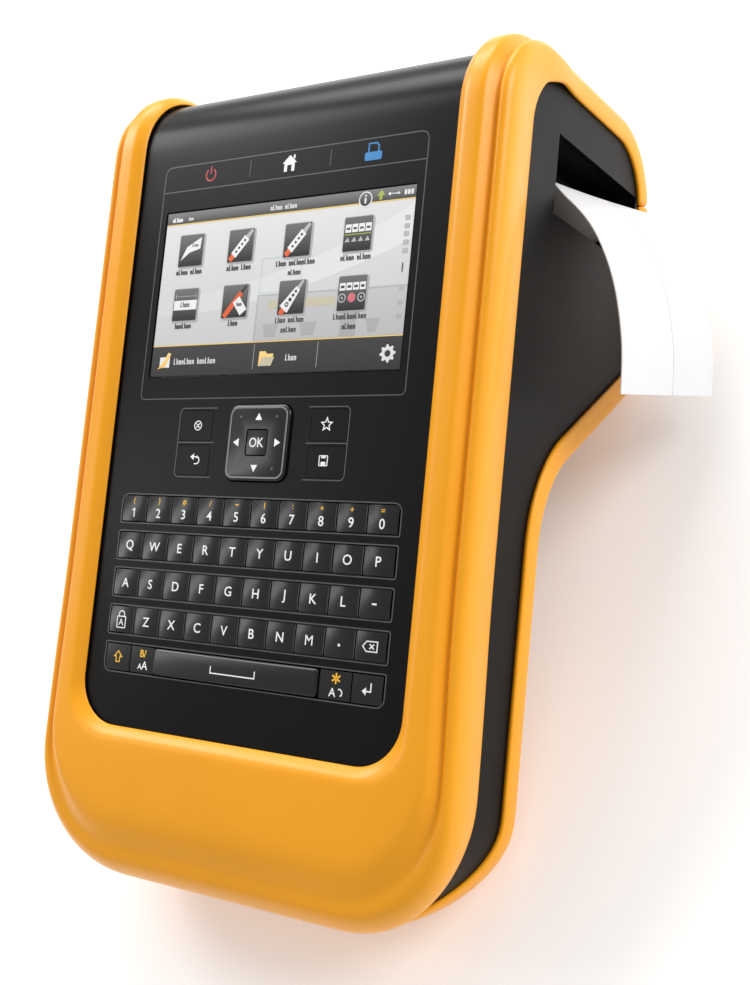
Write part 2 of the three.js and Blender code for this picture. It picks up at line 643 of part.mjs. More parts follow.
place(
  "ribbon_takeup_spool",
  cut(
    rod(ribbonAxis.x, ribbonAxis.y, 5.4, ...SPOOL_Z, 24),
    rod(ribbonAxis.x, ribbonAxis.y, 2.9, -120, 0, 6),
  ),
  RUBBER,
);

// Label: level through the head and cutter, up over the exit's edge and then hanging.
const LABEL_PATH = [
  [32, 106], [44, 106], [53, 106.4], [61, 110], [68.5, 113.2], [76, 108.6], [85, 98.4],
  [92, 83.5], [96, 66], [97, 50.5],
];
const LABEL_SKEW = { x: 3.4, y: 5, from: 56, to: 76 };
function labelStrip() {
  const line = new THREE.SplineCurve(LABEL_PATH.map(([x, y]) => new THREE.Vector2(x, y)));
  const steps = 36;
  const edge = (side) =>
    Array.from({ length: steps + 1 }, (_, i) => {
      const tangent = line.getTangent(i / steps);
      const offset = (side * TAPE.thick) / 2;
      return line.getPoint(i / steps).add(new THREE.Vector2(-tangent.y, tangent.x).multiplyScalar(offset));
    });
  const shape = new THREE.Shape([...edge(-1), ...edge(1).reverse()]);
  const geometry = extruded(shape, TAPE.width, 1).translate(0, 0, -TAPE.width / 2);
  // Outside the exit the strip leans, so its far edge hangs further out and higher.
  const position = geometry.attributes.position;
  for (let i = 0; i < position.count; i++) {
    const lean = THREE.MathUtils.smoothstep(position.getX(i), LABEL_SKEW.from, LABEL_SKEW.to);
    const across = position.getZ(i) / (TAPE.width / 2);
    position.setX(i, position.getX(i) - LABEL_SKEW.x * lean * across);
    position.setY(i, position.getY(i) - LABEL_SKEW.y * lean * across);
  }
  return solid(geometry.translate(0, 0, TAPE.z));
}
place("label_strip", labelStrip(), WHITE);

// ---------------------------------------------------------------- door of the cassette bay
function cassetteDoor() {
  const { bottom, top, depth } = DOOR;
  const region = block(-80, 80, bottom, top, -120, HEAD_Z + depth);
  const outside = bar(wholeSide, -BAND.x, BAND.x).intersect(region);
  const inside = bar(inset(wholeSide, 2.6), -BAND.flange - 0.4, BAND.flange + 0.4);
  const recess = block(-50, 50, 78, 116, HEAD_Z - 1, HEAD_Z + 1.2);
  const latchTray = block(-14.5, 14.5, 109.5, top, HEAD_Z + 1.3, HEAD_Z + 5);
  const latchPocket = block(-13, 13, 111, 125, HEAD_Z - 1, HEAD_Z + 3.5);
  const edge = block(-62.3, 62.3, HINGE.y, HINGE.y + 6, HEAD_Z + 0.1, HINGE.z + HINGE.knuckle);
  const knuckle = crossRod(HINGE.y, HINGE.z, HINGE.knuckle, -62.3, 62.3);
  const heel = block(-80, 80, bottom - 1, HINGE.y, -120, HINGE.z + HINGE.knuckle);
  const earSlots = both((s) => {
    const [x0, x1] = span(s, 62.3, 65.9);
    return block(x0, x1, 60, HINGE.y + 2.8, -120, HINGE.z + 3);
  });
  return cut(
    join(cut(outside, inside, recess, heel), edge, knuckle, latchTray),
    ...earSlots,
    crossRod(HINGE.y, HINGE.z, HINGE.pin + RUNNING, -66, 66),
    latchPocket,
  );
}
place("cassette_door", cassetteDoor(), YELLOW);
place("door_hinge_pin", crossRod(HINGE.y, HINGE.z, HINGE.pin, -65.4, 65.4), STEEL);
place("door_latch", block(-12, 12, 115.5, 120.6, HEAD_Z + 0.2, HEAD_Z + 3.2), BLACK);

// ---------------------------------------------------------------- power and ports
const BATTERY_DOOR = { x: REAR_OPENING.x - GAP, top: 0.2 };
function batteryDoor() {
  const { x, top } = BATTERY_DOOR;
  const { y, z } = BATTERY_HINGE;
  const knuckle = 1.5;
  const plate = block(-x, x, y, top, z - knuckle, z + 1);
  const latchPocket = block(-9, 9, top - 8, top + 1, -60, z);
  const stubs = crossRod(y, z, 1, -x - 1.8, x + 1.8, 12);
  return cut(join(plate, crossRod(y, z, knuckle, -x, x, 16), stubs), latchPocket);
}
place("battery_door", batteryDoor(), MATT_BLACK);
place("battery_latch", block(-8.5, 8.5, -5, -0.2, BATTERY_HINGE.z - 1.4, BATTERY_HINGE.z - 0.3), BLACK);
place("battery_pack", slab(rectangle(-36, 36, -72, -6, 3), -40.6, -18.4), MATT_BLACK);

place(
  "usb_port",
  cut(
    block(PORTS.usb - 6, PORTS.usb + 6, 130.5, 140.5, PORT_Z - 2.8, PORT_Z + 2.8),
    block(PORTS.usb - 5.2, PORTS.usb + 5.2, 132, 150, PORT_Z - 2.1, PORT_Z + 2.1),
  ),
  STEEL,
);
const jack = (r, y0, y1) =>
  solid(new THREE.CylinderGeometry(r, r, y1 - y0, 20).translate(PORTS.power, (y0 + y1) / 2, PORT_Z));
place("power_jack", join(cut(jack(4, 130.5, 140.5), jack(2.9, 132, 150)), jack(0.9, 131, 139)), BLACK);

// ---------------------------------------------------------------- fasteners and feet
bosses.forEach(([x, y], i) => {
  const head = rod(x, y, 2.9, GRIP_Z + 0.1, GRIP_Z + 1.1, 12);
  const shank = rod(x, y, 1.2, GRIP_Z + 0.5, -30, 8);
  const socket = rod(x, y, 1.2, GRIP_Z - 1, GRIP_Z + 0.7, 6);
  place("case_screw_" + (i + 1), cut(join(head, shank), socket), STEEL);
});

// Feet: pads with a flat underside on the table, fitted to the shell above them.
const toTable = (y, z) => y * Math.sin(TILT) + z * Math.cos(TILT);
// The head's feet are shifted clear of the opening door.
const HEAD_CORNER = { y: 66.9, z: -94, r: 12, shift: -3.7, inner: 48, outer: 62 };
const TABLE = toTable(HEAD_CORNER.y, HEAD_CORNER.z) - HEAD_CORNER.r - FOOT.below;
const GRIP_CORNER = { y: -87, z: -25, r: 20, shift: 0, inner: 18, outer: 38 };
function foot(side, corner) {
  const alongTable = corner.y * Math.cos(TILT) - corner.z * Math.sin(TILT) + corner.shift;
  const [x0, x1] = span(side, corner.inner, corner.outer);
  const pad = slab(
    rectangle(x0, x1, alongTable - FOOT.width / 2, alongTable + FOOT.width / 2, 4),
    TABLE,
    TABLE + 9,
    2,
  ).rotate([-THREE.MathUtils.radToDeg(TILT), 0, 0]);
  const clearance = bar(inset(rearSide, -GAP), -90, 90);
  return cut(pad, clearance);
}
const feet = { head: HEAD_CORNER, grip: GRIP_CORNER };
for (const [name, corner] of Object.entries(feet)) {
  place(name + "_foot_left", foot(-1, corner), RUBBER);
  place(name + "_foot_right", foot(1, corner), RUBBER);
}

// ---------------------------------------------------------------- the device on its back
device.rotation.x = TILT;
const assembly = new THREE.Group();
assembly.add(device);
const extent = new THREE.Box3().setFromObject(assembly, true);
const middle = extent.getCenter(new THREE.Vector3());
device.position.set(-middle.x, -middle.y, -extent.min.z);

export default assembly;
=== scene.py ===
# %% [markdown]
# # A hand-held label maker
#
# The real thing is a rugged label printer: a yellow ribbed frame, a glossy black face with a colour
# screen and a letter keypad, black sides, and a label that leaves the right side. The CAD model gives
# every piece its size and its place. Here each visible piece gets the finer shape and the finish that a
# moulded product has.
#
# Everything is drawn in the device's own axes in millimetres (X across the face, Y up it, Z out of it)
# and then laid on its back by one matrix. That keeps the numbers the ones a product designer would use.

import json
import math

import bmesh
import bpy
from mathutils import Matrix, Vector

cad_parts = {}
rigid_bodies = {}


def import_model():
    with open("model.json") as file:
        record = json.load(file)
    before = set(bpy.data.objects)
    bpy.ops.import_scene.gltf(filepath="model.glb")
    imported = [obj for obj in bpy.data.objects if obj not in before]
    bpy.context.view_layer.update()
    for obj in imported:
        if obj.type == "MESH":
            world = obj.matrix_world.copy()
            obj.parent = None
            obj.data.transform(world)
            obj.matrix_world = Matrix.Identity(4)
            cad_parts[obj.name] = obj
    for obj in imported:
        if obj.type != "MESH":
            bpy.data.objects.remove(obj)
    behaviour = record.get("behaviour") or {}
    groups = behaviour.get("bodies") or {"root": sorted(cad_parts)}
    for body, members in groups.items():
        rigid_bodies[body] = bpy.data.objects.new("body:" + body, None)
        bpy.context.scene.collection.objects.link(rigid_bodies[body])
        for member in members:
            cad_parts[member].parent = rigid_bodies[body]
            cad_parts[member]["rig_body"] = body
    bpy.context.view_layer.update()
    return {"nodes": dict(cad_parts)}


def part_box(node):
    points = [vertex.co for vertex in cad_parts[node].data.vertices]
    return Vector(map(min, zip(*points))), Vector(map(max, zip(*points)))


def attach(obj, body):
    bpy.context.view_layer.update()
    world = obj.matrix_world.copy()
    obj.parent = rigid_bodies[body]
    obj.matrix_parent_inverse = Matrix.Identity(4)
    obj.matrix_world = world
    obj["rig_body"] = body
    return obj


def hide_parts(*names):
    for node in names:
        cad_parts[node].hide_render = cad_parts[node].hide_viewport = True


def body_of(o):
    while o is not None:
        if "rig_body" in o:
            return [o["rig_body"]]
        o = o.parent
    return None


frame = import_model()

# %% [markdown]
# ## The device's axes
#
# The device lies on its back, tilted by the angle between its face and the table. The touch window is a
# flat box whose size is known, so its corner tells where the device's zero point is.

# %% Device axes
MM = 0.001
TILT = math.radians(22)
SCREEN = {"x": 46.2, "bottom": 45.0, "top": 97.4, "thick": 1.6}

lens_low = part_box("touch_lens")[0]
lying = Matrix.Rotation(TILT, 4, "X") @ Matrix.Scale(MM, 4)
lens_corners = [
    lying @ Vector((-SCREEN["x"], y, z))
    for y in (SCREEN["bottom"], SCREEN["top"])
    for z in (-SCREEN["thick"], 0)
]
lens_start = Vector(min(c[axis] for c in lens_corners) for axis in range(3))
DEVICE = Matrix.Translation(lens_low - lens_start) @ lying
print("device zero at", tuple(round(v, 4) for v in DEVICE.translation))

# %% [markdown]
# ## Camera
#
# The camera stands to the right of the face and a little below its middle, turned slightly, with a
# normal lens. Its place and turn are given in the device's axes, so that it keeps its view of the face
# whatever the tilt is.

# %% Camera
EYE = Vector((236.8, -23.1, 292.0))  # device millimetres
TURN = {"heading": 33.70, "pitch": 5.57, "roll": 5.51}  # degrees about the device's Y, X and Z
camera_turn = (
    Matrix.Rotation(math.radians(TURN["heading"]), 4, "Y")
    @ Matrix.Rotation(math.radians(TURN["pitch"]), 4, "X")
    @ Matrix.Rotation(math.radians(TURN["roll"]), 4, "Z")
)
lens_data = bpy.data.cameras.new("camera")
lens_data.sensor_fit = "VERTICAL"
lens_data.sensor_height = 36
lens_data.lens = 47.5
lens_data.clip_start = 0.01
lens_data.clip_end = 20
camera = bpy.data.objects.new("camera", lens_data)
bpy.context.scene.collection.objects.link(camera)
camera.matrix_world = (
    Matrix.Translation(DEVICE @ EYE) @ Matrix.Rotation(TILT, 4, "X") @ camera_turn
)
bpy.context.scene.camera = camera
print("camera at", tuple(round(v, 3) for v in camera.location))

# %% [markdown]
# ## Shared surface effects
#
# Moulded plastic is never perfectly even: the tool leaves a fine texture, and hands leave slightly
# shinier patches. Both are small node groups, so that every finish can use them with its own scale.
# Groups give only masks and heights; the shader itself stays in each material.


# %% Node helpers
def new_group(name, inputs, outputs):
    group = bpy.data.node_groups.new(name, "ShaderNodeTree")
    for label, kind, value in inputs:
        socket = group.interface.new_socket(label, in_out="INPUT", socket_type=kind)
        socket.default_value = value
    for label in outputs:
        group.interface.new_socket(label, in_out="OUTPUT", socket_type="NodeSocketFloat")
    start = group.nodes.new("NodeGroupInput")
    end = group.nodes.new("NodeGroupOutput")
    return group, start, end


def math_node(tree, operation, first, second):
    node = tree.nodes.new("ShaderNodeMath")
    node.operation = operation
    for socket, value in zip(node.inputs, (first, second)):
        if isinstance(value, bpy.types.NodeSocket):
            tree.links.new(value, socket)
        else:
            socket.default_value = value
    return node.outputs[0]


def noise_node(tree, vector, scale, detail=3.0):
    node = tree.nodes.new("ShaderNodeTexNoise")
    node.inputs["Detail"].default_value = detail
    node.inputs["Roughness"].default_value = 0.55
    if isinstance(scale, bpy.types.NodeSocket):
        tree.links.new(scale, node.inputs["Scale"])
    else:
        node.inputs["Scale"].default_value = scale
    tree.links.new(vector, node.inputs["Vector"])
    return node.outputs["Fac"]


# %% Moulding texture and handling marks
moulding, start, end = new_group(
    "moulding_texture",
    [
        ("Vector", "NodeSocketVector", (0, 0, 0)),
        ("Grain scale", "NodeSocketFloat", 2500.0),
        ("Patch scale", "NodeSocketFloat", 22.0),
    ],
    ["Height", "Patches"],
)
grain = noise_node(moulding, start.outputs["Vector"], start.outputs["Grain scale"], 2.0)
patches = noise_node(moulding, start.outputs["Vector"], start.outputs["Patch scale"], 4.0)
cells = moulding.nodes.new("ShaderNodeTexVoronoi")
moulding.links.new(start.outputs["Vector"], cells.inputs["Vector"])
moulding.links.new(start.outputs["Grain scale"], cells.inputs["Scale"])
height = math_node(moulding, "MULTIPLY", grain, cells.outputs["Distance"])
moulding.links.new(height, end.inputs["Height"])
moulding.links.new(patches, end.inputs["Patches"])
print("shared group:", moulding.name)

# %% [markdown]
# ## Finishes
#
# A finish is one Principled shader with the moulding group behind it: the patches move the colour and
# the roughness a little, and the grain drives a very small bump. What differs between satin yellow,
# lacquered black and rubber is how rough the surface is, how deep its grain is and whether it carries a
# clear coat.


# %% Plastic finishes
def plastic(name, colour, roughness, grain_depth, vary, coat=0.0, coat_rough=0.1,
            grain_scale=2500.0, patch_scale=22.0, rough_vary=0.08, shine=0.5):
    """A moulded finish: linear RGB, the grain's depth in millimetres, and shine for how much it mirrors."""
    material = bpy.data.materials.new(name)
    material.use_nodes = True
    tree = material.node_tree
    shader = tree.nodes["Principled BSDF"]
    coords = tree.nodes.new("ShaderNodeTexCoord")
    group = tree.nodes.new("ShaderNodeGroup")
    group.node_tree = moulding
    group.inputs["Grain scale"].default_value = grain_scale
    group.inputs["Patch scale"].default_value = patch_scale
    tree.links.new(coords.outputs["Object"], group.inputs["Vector"])

    tint = tree.nodes.new("ShaderNodeValToRGB")
    tint.color_ramp.elements[0].position = 0.3
    tint.color_ramp.elements[1].position = 0.7
    tint.color_ramp.elements[0].color = [c * (1 - vary) for c in colour] + [1]
    tint.color_ramp.elements[1].color = [min(c * (1 + vary), 1) for c in colour] + [1]
    tree.links.new(group.outputs["Patches"], tint.inputs["Fac"])
    tree.links.new(tint.outputs["Color"], shader.inputs["Base Color"])

    rough = tree.nodes.new("ShaderNodeMapRange")
    rough.inputs["To Min"].default_value = max(roughness - rough_vary, 0.02)
    rough.inputs["To Max"].default_value = roughness + rough_vary
    tree.links.new(group.outputs["Patches"], rough.inputs["Value"])
    tree.links.new(rough.outputs["Result"], shader.inputs["Roughness"])

    bump = tree.nodes.new("ShaderNodeBump")
    bump.inputs["Strength"].default_value = 1.0
    bump.inputs["Distance"].default_value = grain_depth * MM
    tree.links.new(group.outputs["Height"], bump.inputs["Height"])
    tree.links.new(bump.outputs["Normal"], shader.inputs["Normal"])
    shader.inputs["Specular IOR Level"].default_value = shine
    shader.inputs["Coat Weight"].default_value = coat
    shader.inputs["Coat Roughness"].default_value = coat_rough
    return material


FINISH = {
    "yellow": plastic("yellow_shell", (0.95, 0.385, 0.006), 0.36, 0.012, vary=0.03,
                      coat=0.12, coat_rough=0.25, shine=0.35),
    "face": plastic("face_lacquer", (0.005, 0.005, 0.0053), 0.3, 0.003, vary=0.12,
                    coat=0.05, coat_rough=0.2, rough_vary=0.03, shine=0.13),
    "side": plastic("side_matt_black", (0.004, 0.0037, 0.0035), 0.45, 0.015, vary=0.12,
                    grain_scale=1800.0, shine=0.13),
    "key": plastic("key_gloss", (0.005, 0.005, 0.0052), 0.24, 0.001, vary=0.1,
                   coat=0.45, coat_rough=0.16, rough_vary=0.02, shine=0.3),
    "rubber": plastic("foot_rubber", (0.014, 0.014, 0.014), 0.8, 0.03, vary=0.2, grain_scale=1400.0),
    "black": plastic("black_moulding", (0.02, 0.02, 0.021), 0.45, 0.015, vary=0.12),
    "white": plastic("natural_acetal", (0.78, 0.76, 0.7), 0.4, 0.004, vary=0.03),
    "board": plastic("solder_mask", (0.012, 0.11, 0.035), 0.35, 0.01, vary=0.3,
                     grain_scale=900.0, patch_scale=160.0),
    "ribbon": plastic("ink_ribbon_black", (0.008, 0.008, 0.009), 0.16, 0.004, vary=0.2),
    "ceramic": plastic("ceramic_bar", (0.78, 0.74, 0.66), 0.18, 0.002, vary=0.04),
}
print("plastic finishes:", sorted(FINISH))


# %% Metal finishes
BRUSH_DEPTH = 0.004


def metal(name, colour, roughness, brush):
    """Brushed or drawn metal: noise that is stretched along the axis where brush is small."""
    material = bpy.data.materials.new(name)
    material.use_nodes = True
    tree = material.node_tree
    shader = tree.nodes["Principled BSDF"]
    shader.inputs["Metallic"].default_value = 1.0
    shader.inputs["Base Color"].default_value = (*colour, 1)
    coords = tree.nodes.new("ShaderNodeTexCoord")
    mapping = tree.nodes.new("ShaderNodeMapping")
    mapping.inputs["Scale"].default_value = brush
    tree.links.new(coords.outputs["Object"], mapping.inputs["Vector"])
    lines = noise_node(tree, mapping.outputs["Vector"], 900.0)
    rough = tree.nodes.new("ShaderNodeMapRange")
    rough.inputs["To Min"].default_value = roughness - 0.1
    rough.inputs["To Max"].default_value = roughness + 0.12
    tree.links.new(lines, rough.inputs["Value"])
    tree.links.new(rough.outputs["Result"], shader.inputs["Roughness"])
    bump = tree.nodes.new("ShaderNodeBump")
    bump.inputs["Distance"].default_value = BRUSH_DEPTH * MM
    tree.links.new(lines, bump.inputs["Height"])
    tree.links.new(bump.outputs["Normal"], shader.inputs["Normal"])
    return material


FINISH["steel"] = metal("plated_steel", (0.62, 0.63, 0.65), 0.3, brush=(0.05, 1, 1))
FINISH["aluminium"] = metal("extruded_aluminium", (0.78, 0.79, 0.8), 0.35, brush=(1, 0.05, 0.3))
FINISH["display"] = metal("display_frame_metal", (0.5, 0.51, 0.53), 0.4, brush=(0.1, 1, 1))
print("metal finishes added")


# %% Ink and screen colours
def ink(name, colour, glow=0.0, roughness=0.35):
    """A printed colour, with slightly uneven ink; glow is a painted glow, an emission that brightens the
    print though no lamp lights it.
    """
    material = plastic(name, colour, roughness, 0.002, vary=0.04, rough_vary=0.03)
    shader = material.node_tree.nodes["Principled BSDF"]
    shader.inputs["Emission Color"].default_value = (*colour, 1)
    shader.inputs["Emission Strength"].default_value = glow
    return material


# The white, yellow, red and blue prints have painted glow: a small emission that brightens them, with no
# lamp behind them.
INK = {
    "white": ink("print_white", (0.85, 0.85, 0.84), 0.12),
    "yellow": ink("print_yellow", (0.85, 0.47, 0.03), 0.1),
    "line": ink("print_grey_line", (0.085, 0.085, 0.087)),
    "rim": ink("pad_rim_grey", (0.2, 0.2, 0.205), roughness=0.25),
    "red": ink("backlit_red", (0.42, 0.012, 0.02), 0.15),
    "blue": ink("backlit_blue", (0.006, 0.2, 0.52), 0.12),
}
print("inks:", sorted(INK))

# %% [markdown]
# ## Making pieces
#
# Every piece is a bmesh in device millimetres. One helper merges doubles, turns the faces outwards,
# lays the piece on the device's back, gives it its finish and ties it to its body, so no piece can
# forget a step.


# %% Piece helper
def carve(obj, cutter_mesh):
    """Cuts the closed shapes of a bmesh in device millimetres out of an object, for good."""
    cutter_mesh.transform(DEVICE)
    data = bpy.data.meshes.new("cutter")
    cutter_mesh.to_mesh(data)
    cutter_mesh.free()
    cutter = bpy.data.objects.new("cutter", data)
    bpy.context.scene.collection.objects.link(cutter)
    cut = obj.modifiers.new("cut", "BOOLEAN")
    cut.object = cutter
    cut.solver = "EXACT"
    obj.data = bpy.data.meshes.new_from_object(obj.evaluated_get(bpy.context.evaluated_depsgraph_get()))
    obj.modifiers.remove(cut)
    bpy.data.objects.remove(cutter)


def finish_piece(name, bm, material, body, stands_for=(), sharp=40, smooth=0, rounding=0.0,
                 merge=0.002, holes=None):
    """Turns a bmesh into a finished object, with its subdivision levels and its bevel in millimetres."""
    bmesh.ops.remove_doubles(bm, verts=bm.verts, dist=merge)
    bmesh.ops.recalc_face_normals(bm, faces=bm.faces)
    bm.transform(DEVICE)
    mesh = bpy.data.meshes.new(name)
    bm.to_mesh(mesh)
    bm.free()
    mesh.materials.append(material)
    obj = bpy.data.objects.new(name, mesh)
    bpy.context.scene.collection.objects.link(obj)
    if holes:
        carve(obj, holes)
    obj.data.polygons.foreach_set("use_smooth", [True] * len(obj.data.polygons))
    obj.data.set_sharp_from_angle(angle=math.radians(sharp))
    if rounding:
        edge = obj.modifiers.new("rounded_edges", "BEVEL")
        edge.width = rounding * MM
        edge.segments = 3
        edge.limit_method = "ANGLE"
        edge.angle_limit = math.radians(35)
        edge.use_clamp_overlap = True
    if smooth:
        layer = obj.modifiers.new("subdivision", "SUBSURF")
        layer.levels = layer.render_levels = smooth
    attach(obj, body)
    if stands_for:
        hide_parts(*stands_for)
    print(f"{name}: {len(obj.data.polygons)} faces")
    return obj


def loft(bm, rings, cap_start=False, cap_end=True):
    """Bridges closed rings of points, each to the next, and closes the ends that are asked for."""
    loops = []
    for ring in rings:
        verts = [bm.verts.new(point) for point in ring]
        loops.append([bm.edges.new(pair) for pair in zip(verts, verts[1:] + verts[:1])])
        if len(loops) > 1:
            bmesh.ops.bridge_loops(bm, edges=loops[-2] + loops[-1])
    for wanted, edges in ((cap_start, loops[0]), (cap_end, loops[-1])):
        if wanted:
            bmesh.ops.contextual_create(bm, geom=edges)


def smoothstep(low, high, value):
    share = min(max((value - low) / (high - low), 0), 1)
    return share * share * (3 - 2 * share)


def mirror_x(bm):
    bmesh.ops.mirror(bm, geom=bm.verts[:] + bm.edges[:] + bm.faces[:], merge_dist=0.01, axis="X")


print("helpers ready")

# %% [markdown]
# ## The yellow frame
#
# On the real product this is one moulding: a lip round the black face, two ribs down each side that
# wrap over the top, and a wide chin. It could be cut from blocks, but its charm is that the ribs flow
# round the corners. So it is lofted: a section (lip, flat, crest, groove, second rib, side) is carried
# along the edge of the face from the middle of the chin, round the corner, up the side, over the top
# and down the back to the door. Three sections are mixed on the way, the subdivision makes them flow,
# and the other half is a mirror image.

# %% Frame dimensions
FACE = {"x": 58.0, "bottom": -62.0, "corner": 14.0}
CREST_Z = 3.5
CHIN = {"y": -107.0, "corner": 35.0, "x": 75.0}
TOP = {"y": 145.0, "roll": 26.0, "back_z": -106.0, "back_roll": 28.0, "seam_y": 121.5}
BAND_X = 71.5
TAPER = {"by": 1.2, "from_y": -72.0, "to_y": -12.0}
SIDE_DEPTH, BAND_DEPTH = 22.0, 9.0
BLACK_CORNER = 14.0  # radius of the black panel's upper corner, seen from the side
BLACK_CENTRE = (3.0, 10.0)  # the middle of that corner, from the middle of the top roll
BLACK_TURN = math.radians(37)  # where the corner starts on the roll

# Sections as (distance from the black face, height), in millimetres, all with the same number of points.
SIDE_SECTION = [
    (0, -3.1), (0, -2.6), (0.5, -1.9), (2.4, -0.5), (3.6, -0.05), (4.6, 0), (7.4, 0), (8.6, -0.15),
    (9.6, -0.75), (11.3, -3.3), (11.7, -3.85), (12.1, -3.9), (12.6, -3.2), (13.8, -2.5),
    (15.4, -3.2), (16.8, -5.4), (17, -8.5), (16.4, -13), (15.2, -18), (14.2, -21.2), (13.6, -22),
    (12.4, -21.4), (13.2, -12), (12, -6.2), (8, -3.1),
]
CHIN_SECTION = [
    (0, -3.1), (0, -2.6), (0.5, -1.9), (2.4, -0.5), (3.8, -0.1), (6, 0), (22, -0.25), (26, -0.6),
    (29, -1.2), (32.5, -2.6), (34.5, -3.4), (36, -3.8), (37.6, -4), (39.2, -4.3), (41.2, -5.4),
    (43.2, -7.6), (44.5, -10.5), (44.9, -13), (44.6, -15), (43.6, -15.9), (42.4, -16.2),
    (41.6, -15), (41.6, -11), (38, -7.5), (20, -3.1),
]
BAND_SECTION = [
    (0, -3.1), (0, -2.6), (0.5, -1.9), (2.4, -0.5), (3.6, -0.05), (4.6, 0), (7.4, 0), (8.6, -0.1),
    (9.4, -0.4), (10.2, -0.8), (10.8, -1.1), (11.3, -1.3), (11.8, -1.5), (12.4, -1.9), (13, -2.6),
    (13.4, -3.6), (13.5, -4.8), (13.5, -6.2), (13.4, -7.6), (13.1, -8.6), (12.6, -9), (11.4, -8.6),
    (11, -6), (9, -4.2), (5, -3.1),
]
RIB_POINTS = 15  # the points before this one make the ribs, and the rest make the side


def as_shares(section):
    """The section with its distances as shares of its width."""
    width = max(point[0] for point in section)
    return [(across / width, height) for across, height in section]


SIDE_SHARES, CHIN_SHARES, BAND_SHARES = map(as_shares, (SIDE_SECTION, CHIN_SECTION, BAND_SECTION))


# %% Frame sections along the edge of the face
def frame_ring(inner, outer, normal, chin=0.0, band=0.0, depth=SIDE_DEPTH):
    """One section: chin and band say how much of those two sections is mixed into the side's."""
    inner, outer, normal = Vector(inner), Vector(outer), Vector(normal)
    shallow = (SIDE_DEPTH - depth) / (SIDE_DEPTH - BAND_DEPTH)
    ring = []
    for i, (side, low, high) in enumerate(zip(SIDE_SHARES, CHIN_SHARES, BAND_SHARES)):
        top_mix = band if i < RIB_POINTS else max(band, shallow)
        share = side[0] * (1 - top_mix) + high[0] * top_mix
        height = side[1] * (1 - top_mix) + high[1] * top_mix
        share += (low[0] - share) * chin
        height += (low[1] - height) * chin
        ring.append(inner + (outer - inner) * share + normal * height)
    return ring


def side_width(y):
    """Half the frame's width: the chin is a little wider than the sides above it."""
    return CHIN["x"] - TAPER["by"] * smoothstep(TAPER["from_y"], TAPER["to_y"], y)


def black_depth(angle):
    """How deep the yellow side is over the top roll, where the black panel's corner is rounded."""
    rim = TOP["roll"] - SIDE_DEPTH
    if angle < BLACK_TURN:
        return TOP["roll"] - rim / math.cos(angle)
    offset = BLACK_CENTRE[0] * math.sin(angle) - BLACK_CENTRE[1] * math.cos(angle)
    return TOP["roll"] - offset - math.sqrt(offset**2 + BLACK_CORNER**2 - math.hypot(*BLACK_CENTRE) ** 2)


# How many sections each stretch of the edge gets.
STEPS = {"chin": 8, "corner": 14, "side": 24, "top": 12, "back": 10, "back_roll": 11}
SIDE_CHIN = 0.2  # what is left of the chin's section where the side begins
ROLL_BAND = 0.25  # how much of the band's section is there where the top roll ends
rings = []
UP_Z = (0, 0, 1)
chin_inner_x = FACE["x"] - FACE["corner"]
chin_outer_x = CHIN["x"] - CHIN["corner"]
for step in range(STEPS["chin"]):
    t = step / STEPS["chin"]
    rings.append(frame_ring((chin_inner_x * t, FACE["bottom"], CREST_Z),
                            (chin_outer_x * t, CHIN["y"], CREST_Z), UP_Z, chin=1, depth=16))
inner_turn_y = FACE["bottom"] + FACE["corner"]
outer_turn_y = CHIN["y"] + CHIN["corner"]
for step in range(STEPS["corner"] + 1):
    angle = math.radians(90 * step / STEPS["corner"])
    sine, cosine = math.sin(angle), math.cos(angle)
    inner = (chin_inner_x + FACE["corner"] * sine, inner_turn_y - FACE["corner"] * cosine, CREST_Z)
    outer = (chin_outer_x + CHIN["corner"] * sine, outer_turn_y - CHIN["corner"] * cosine, CREST_Z)
    chin_share = 1 - (1 - SIDE_CHIN) * smoothstep(0, 1, step / STEPS["corner"])
    rings.append(frame_ring(inner, outer, UP_Z, chin=chin_share))
roll_y = TOP["y"] - TOP["roll"]
for step in range(1, STEPS["side"] + 1):
    t = (step / STEPS["side"]) ** 1.3
    y_in = inner_turn_y + (roll_y - inner_turn_y) * t
    y_out = outer_turn_y + (roll_y - outer_turn_y) * t
    chin_share = SIDE_CHIN * (1 - smoothstep(0, 0.2, t))
    rings.append(frame_ring((FACE["x"], y_in, CREST_Z), (side_width(y_out), y_out, CREST_Z), UP_Z,
                            chin=chin_share))
for step in range(1, STEPS["top"] + 1):
    angle = math.radians(90 * step / STEPS["top"])
    y = roll_y + TOP["roll"] * math.sin(angle)
    z = CREST_Z - TOP["roll"] + TOP["roll"] * math.cos(angle)
    band_share = ROLL_BAND * smoothstep(0.6, 1, step / STEPS["top"])
    rings.append(frame_ring((FACE["x"], y, z), (side_width(y), y, z), (0, math.sin(angle), math.cos(angle)),
                            band=band_share, depth=black_depth(angle)))
roll_z = CREST_Z - TOP["roll"]
back_roll_z = TOP["back_z"] + TOP["back_roll"]
for step in range(1, STEPS["back"] + 1):
    z = roll_z + (back_roll_z - roll_z) * step / STEPS["back"]
    fade = smoothstep(0, 0.45, step / STEPS["back"])
    width = side_width(TOP["y"]) + (BAND_X - side_width(TOP["y"])) * fade
    still_deep = 1 - smoothstep(0, 0.2, step / STEPS["back"])
    depth = BAND_DEPTH + (black_depth(math.pi / 2) - BAND_DEPTH) * still_deep
    rings.append(frame_ring((FACE["x"], TOP["y"], z), (width, TOP["y"], z), (0, 1, 0),
                            band=ROLL_BAND + (1 - ROLL_BAND) * fade, depth=depth))
seam_angle = math.acos((TOP["seam_y"] - TOP["y"] + TOP["back_roll"]) / TOP["back_roll"])
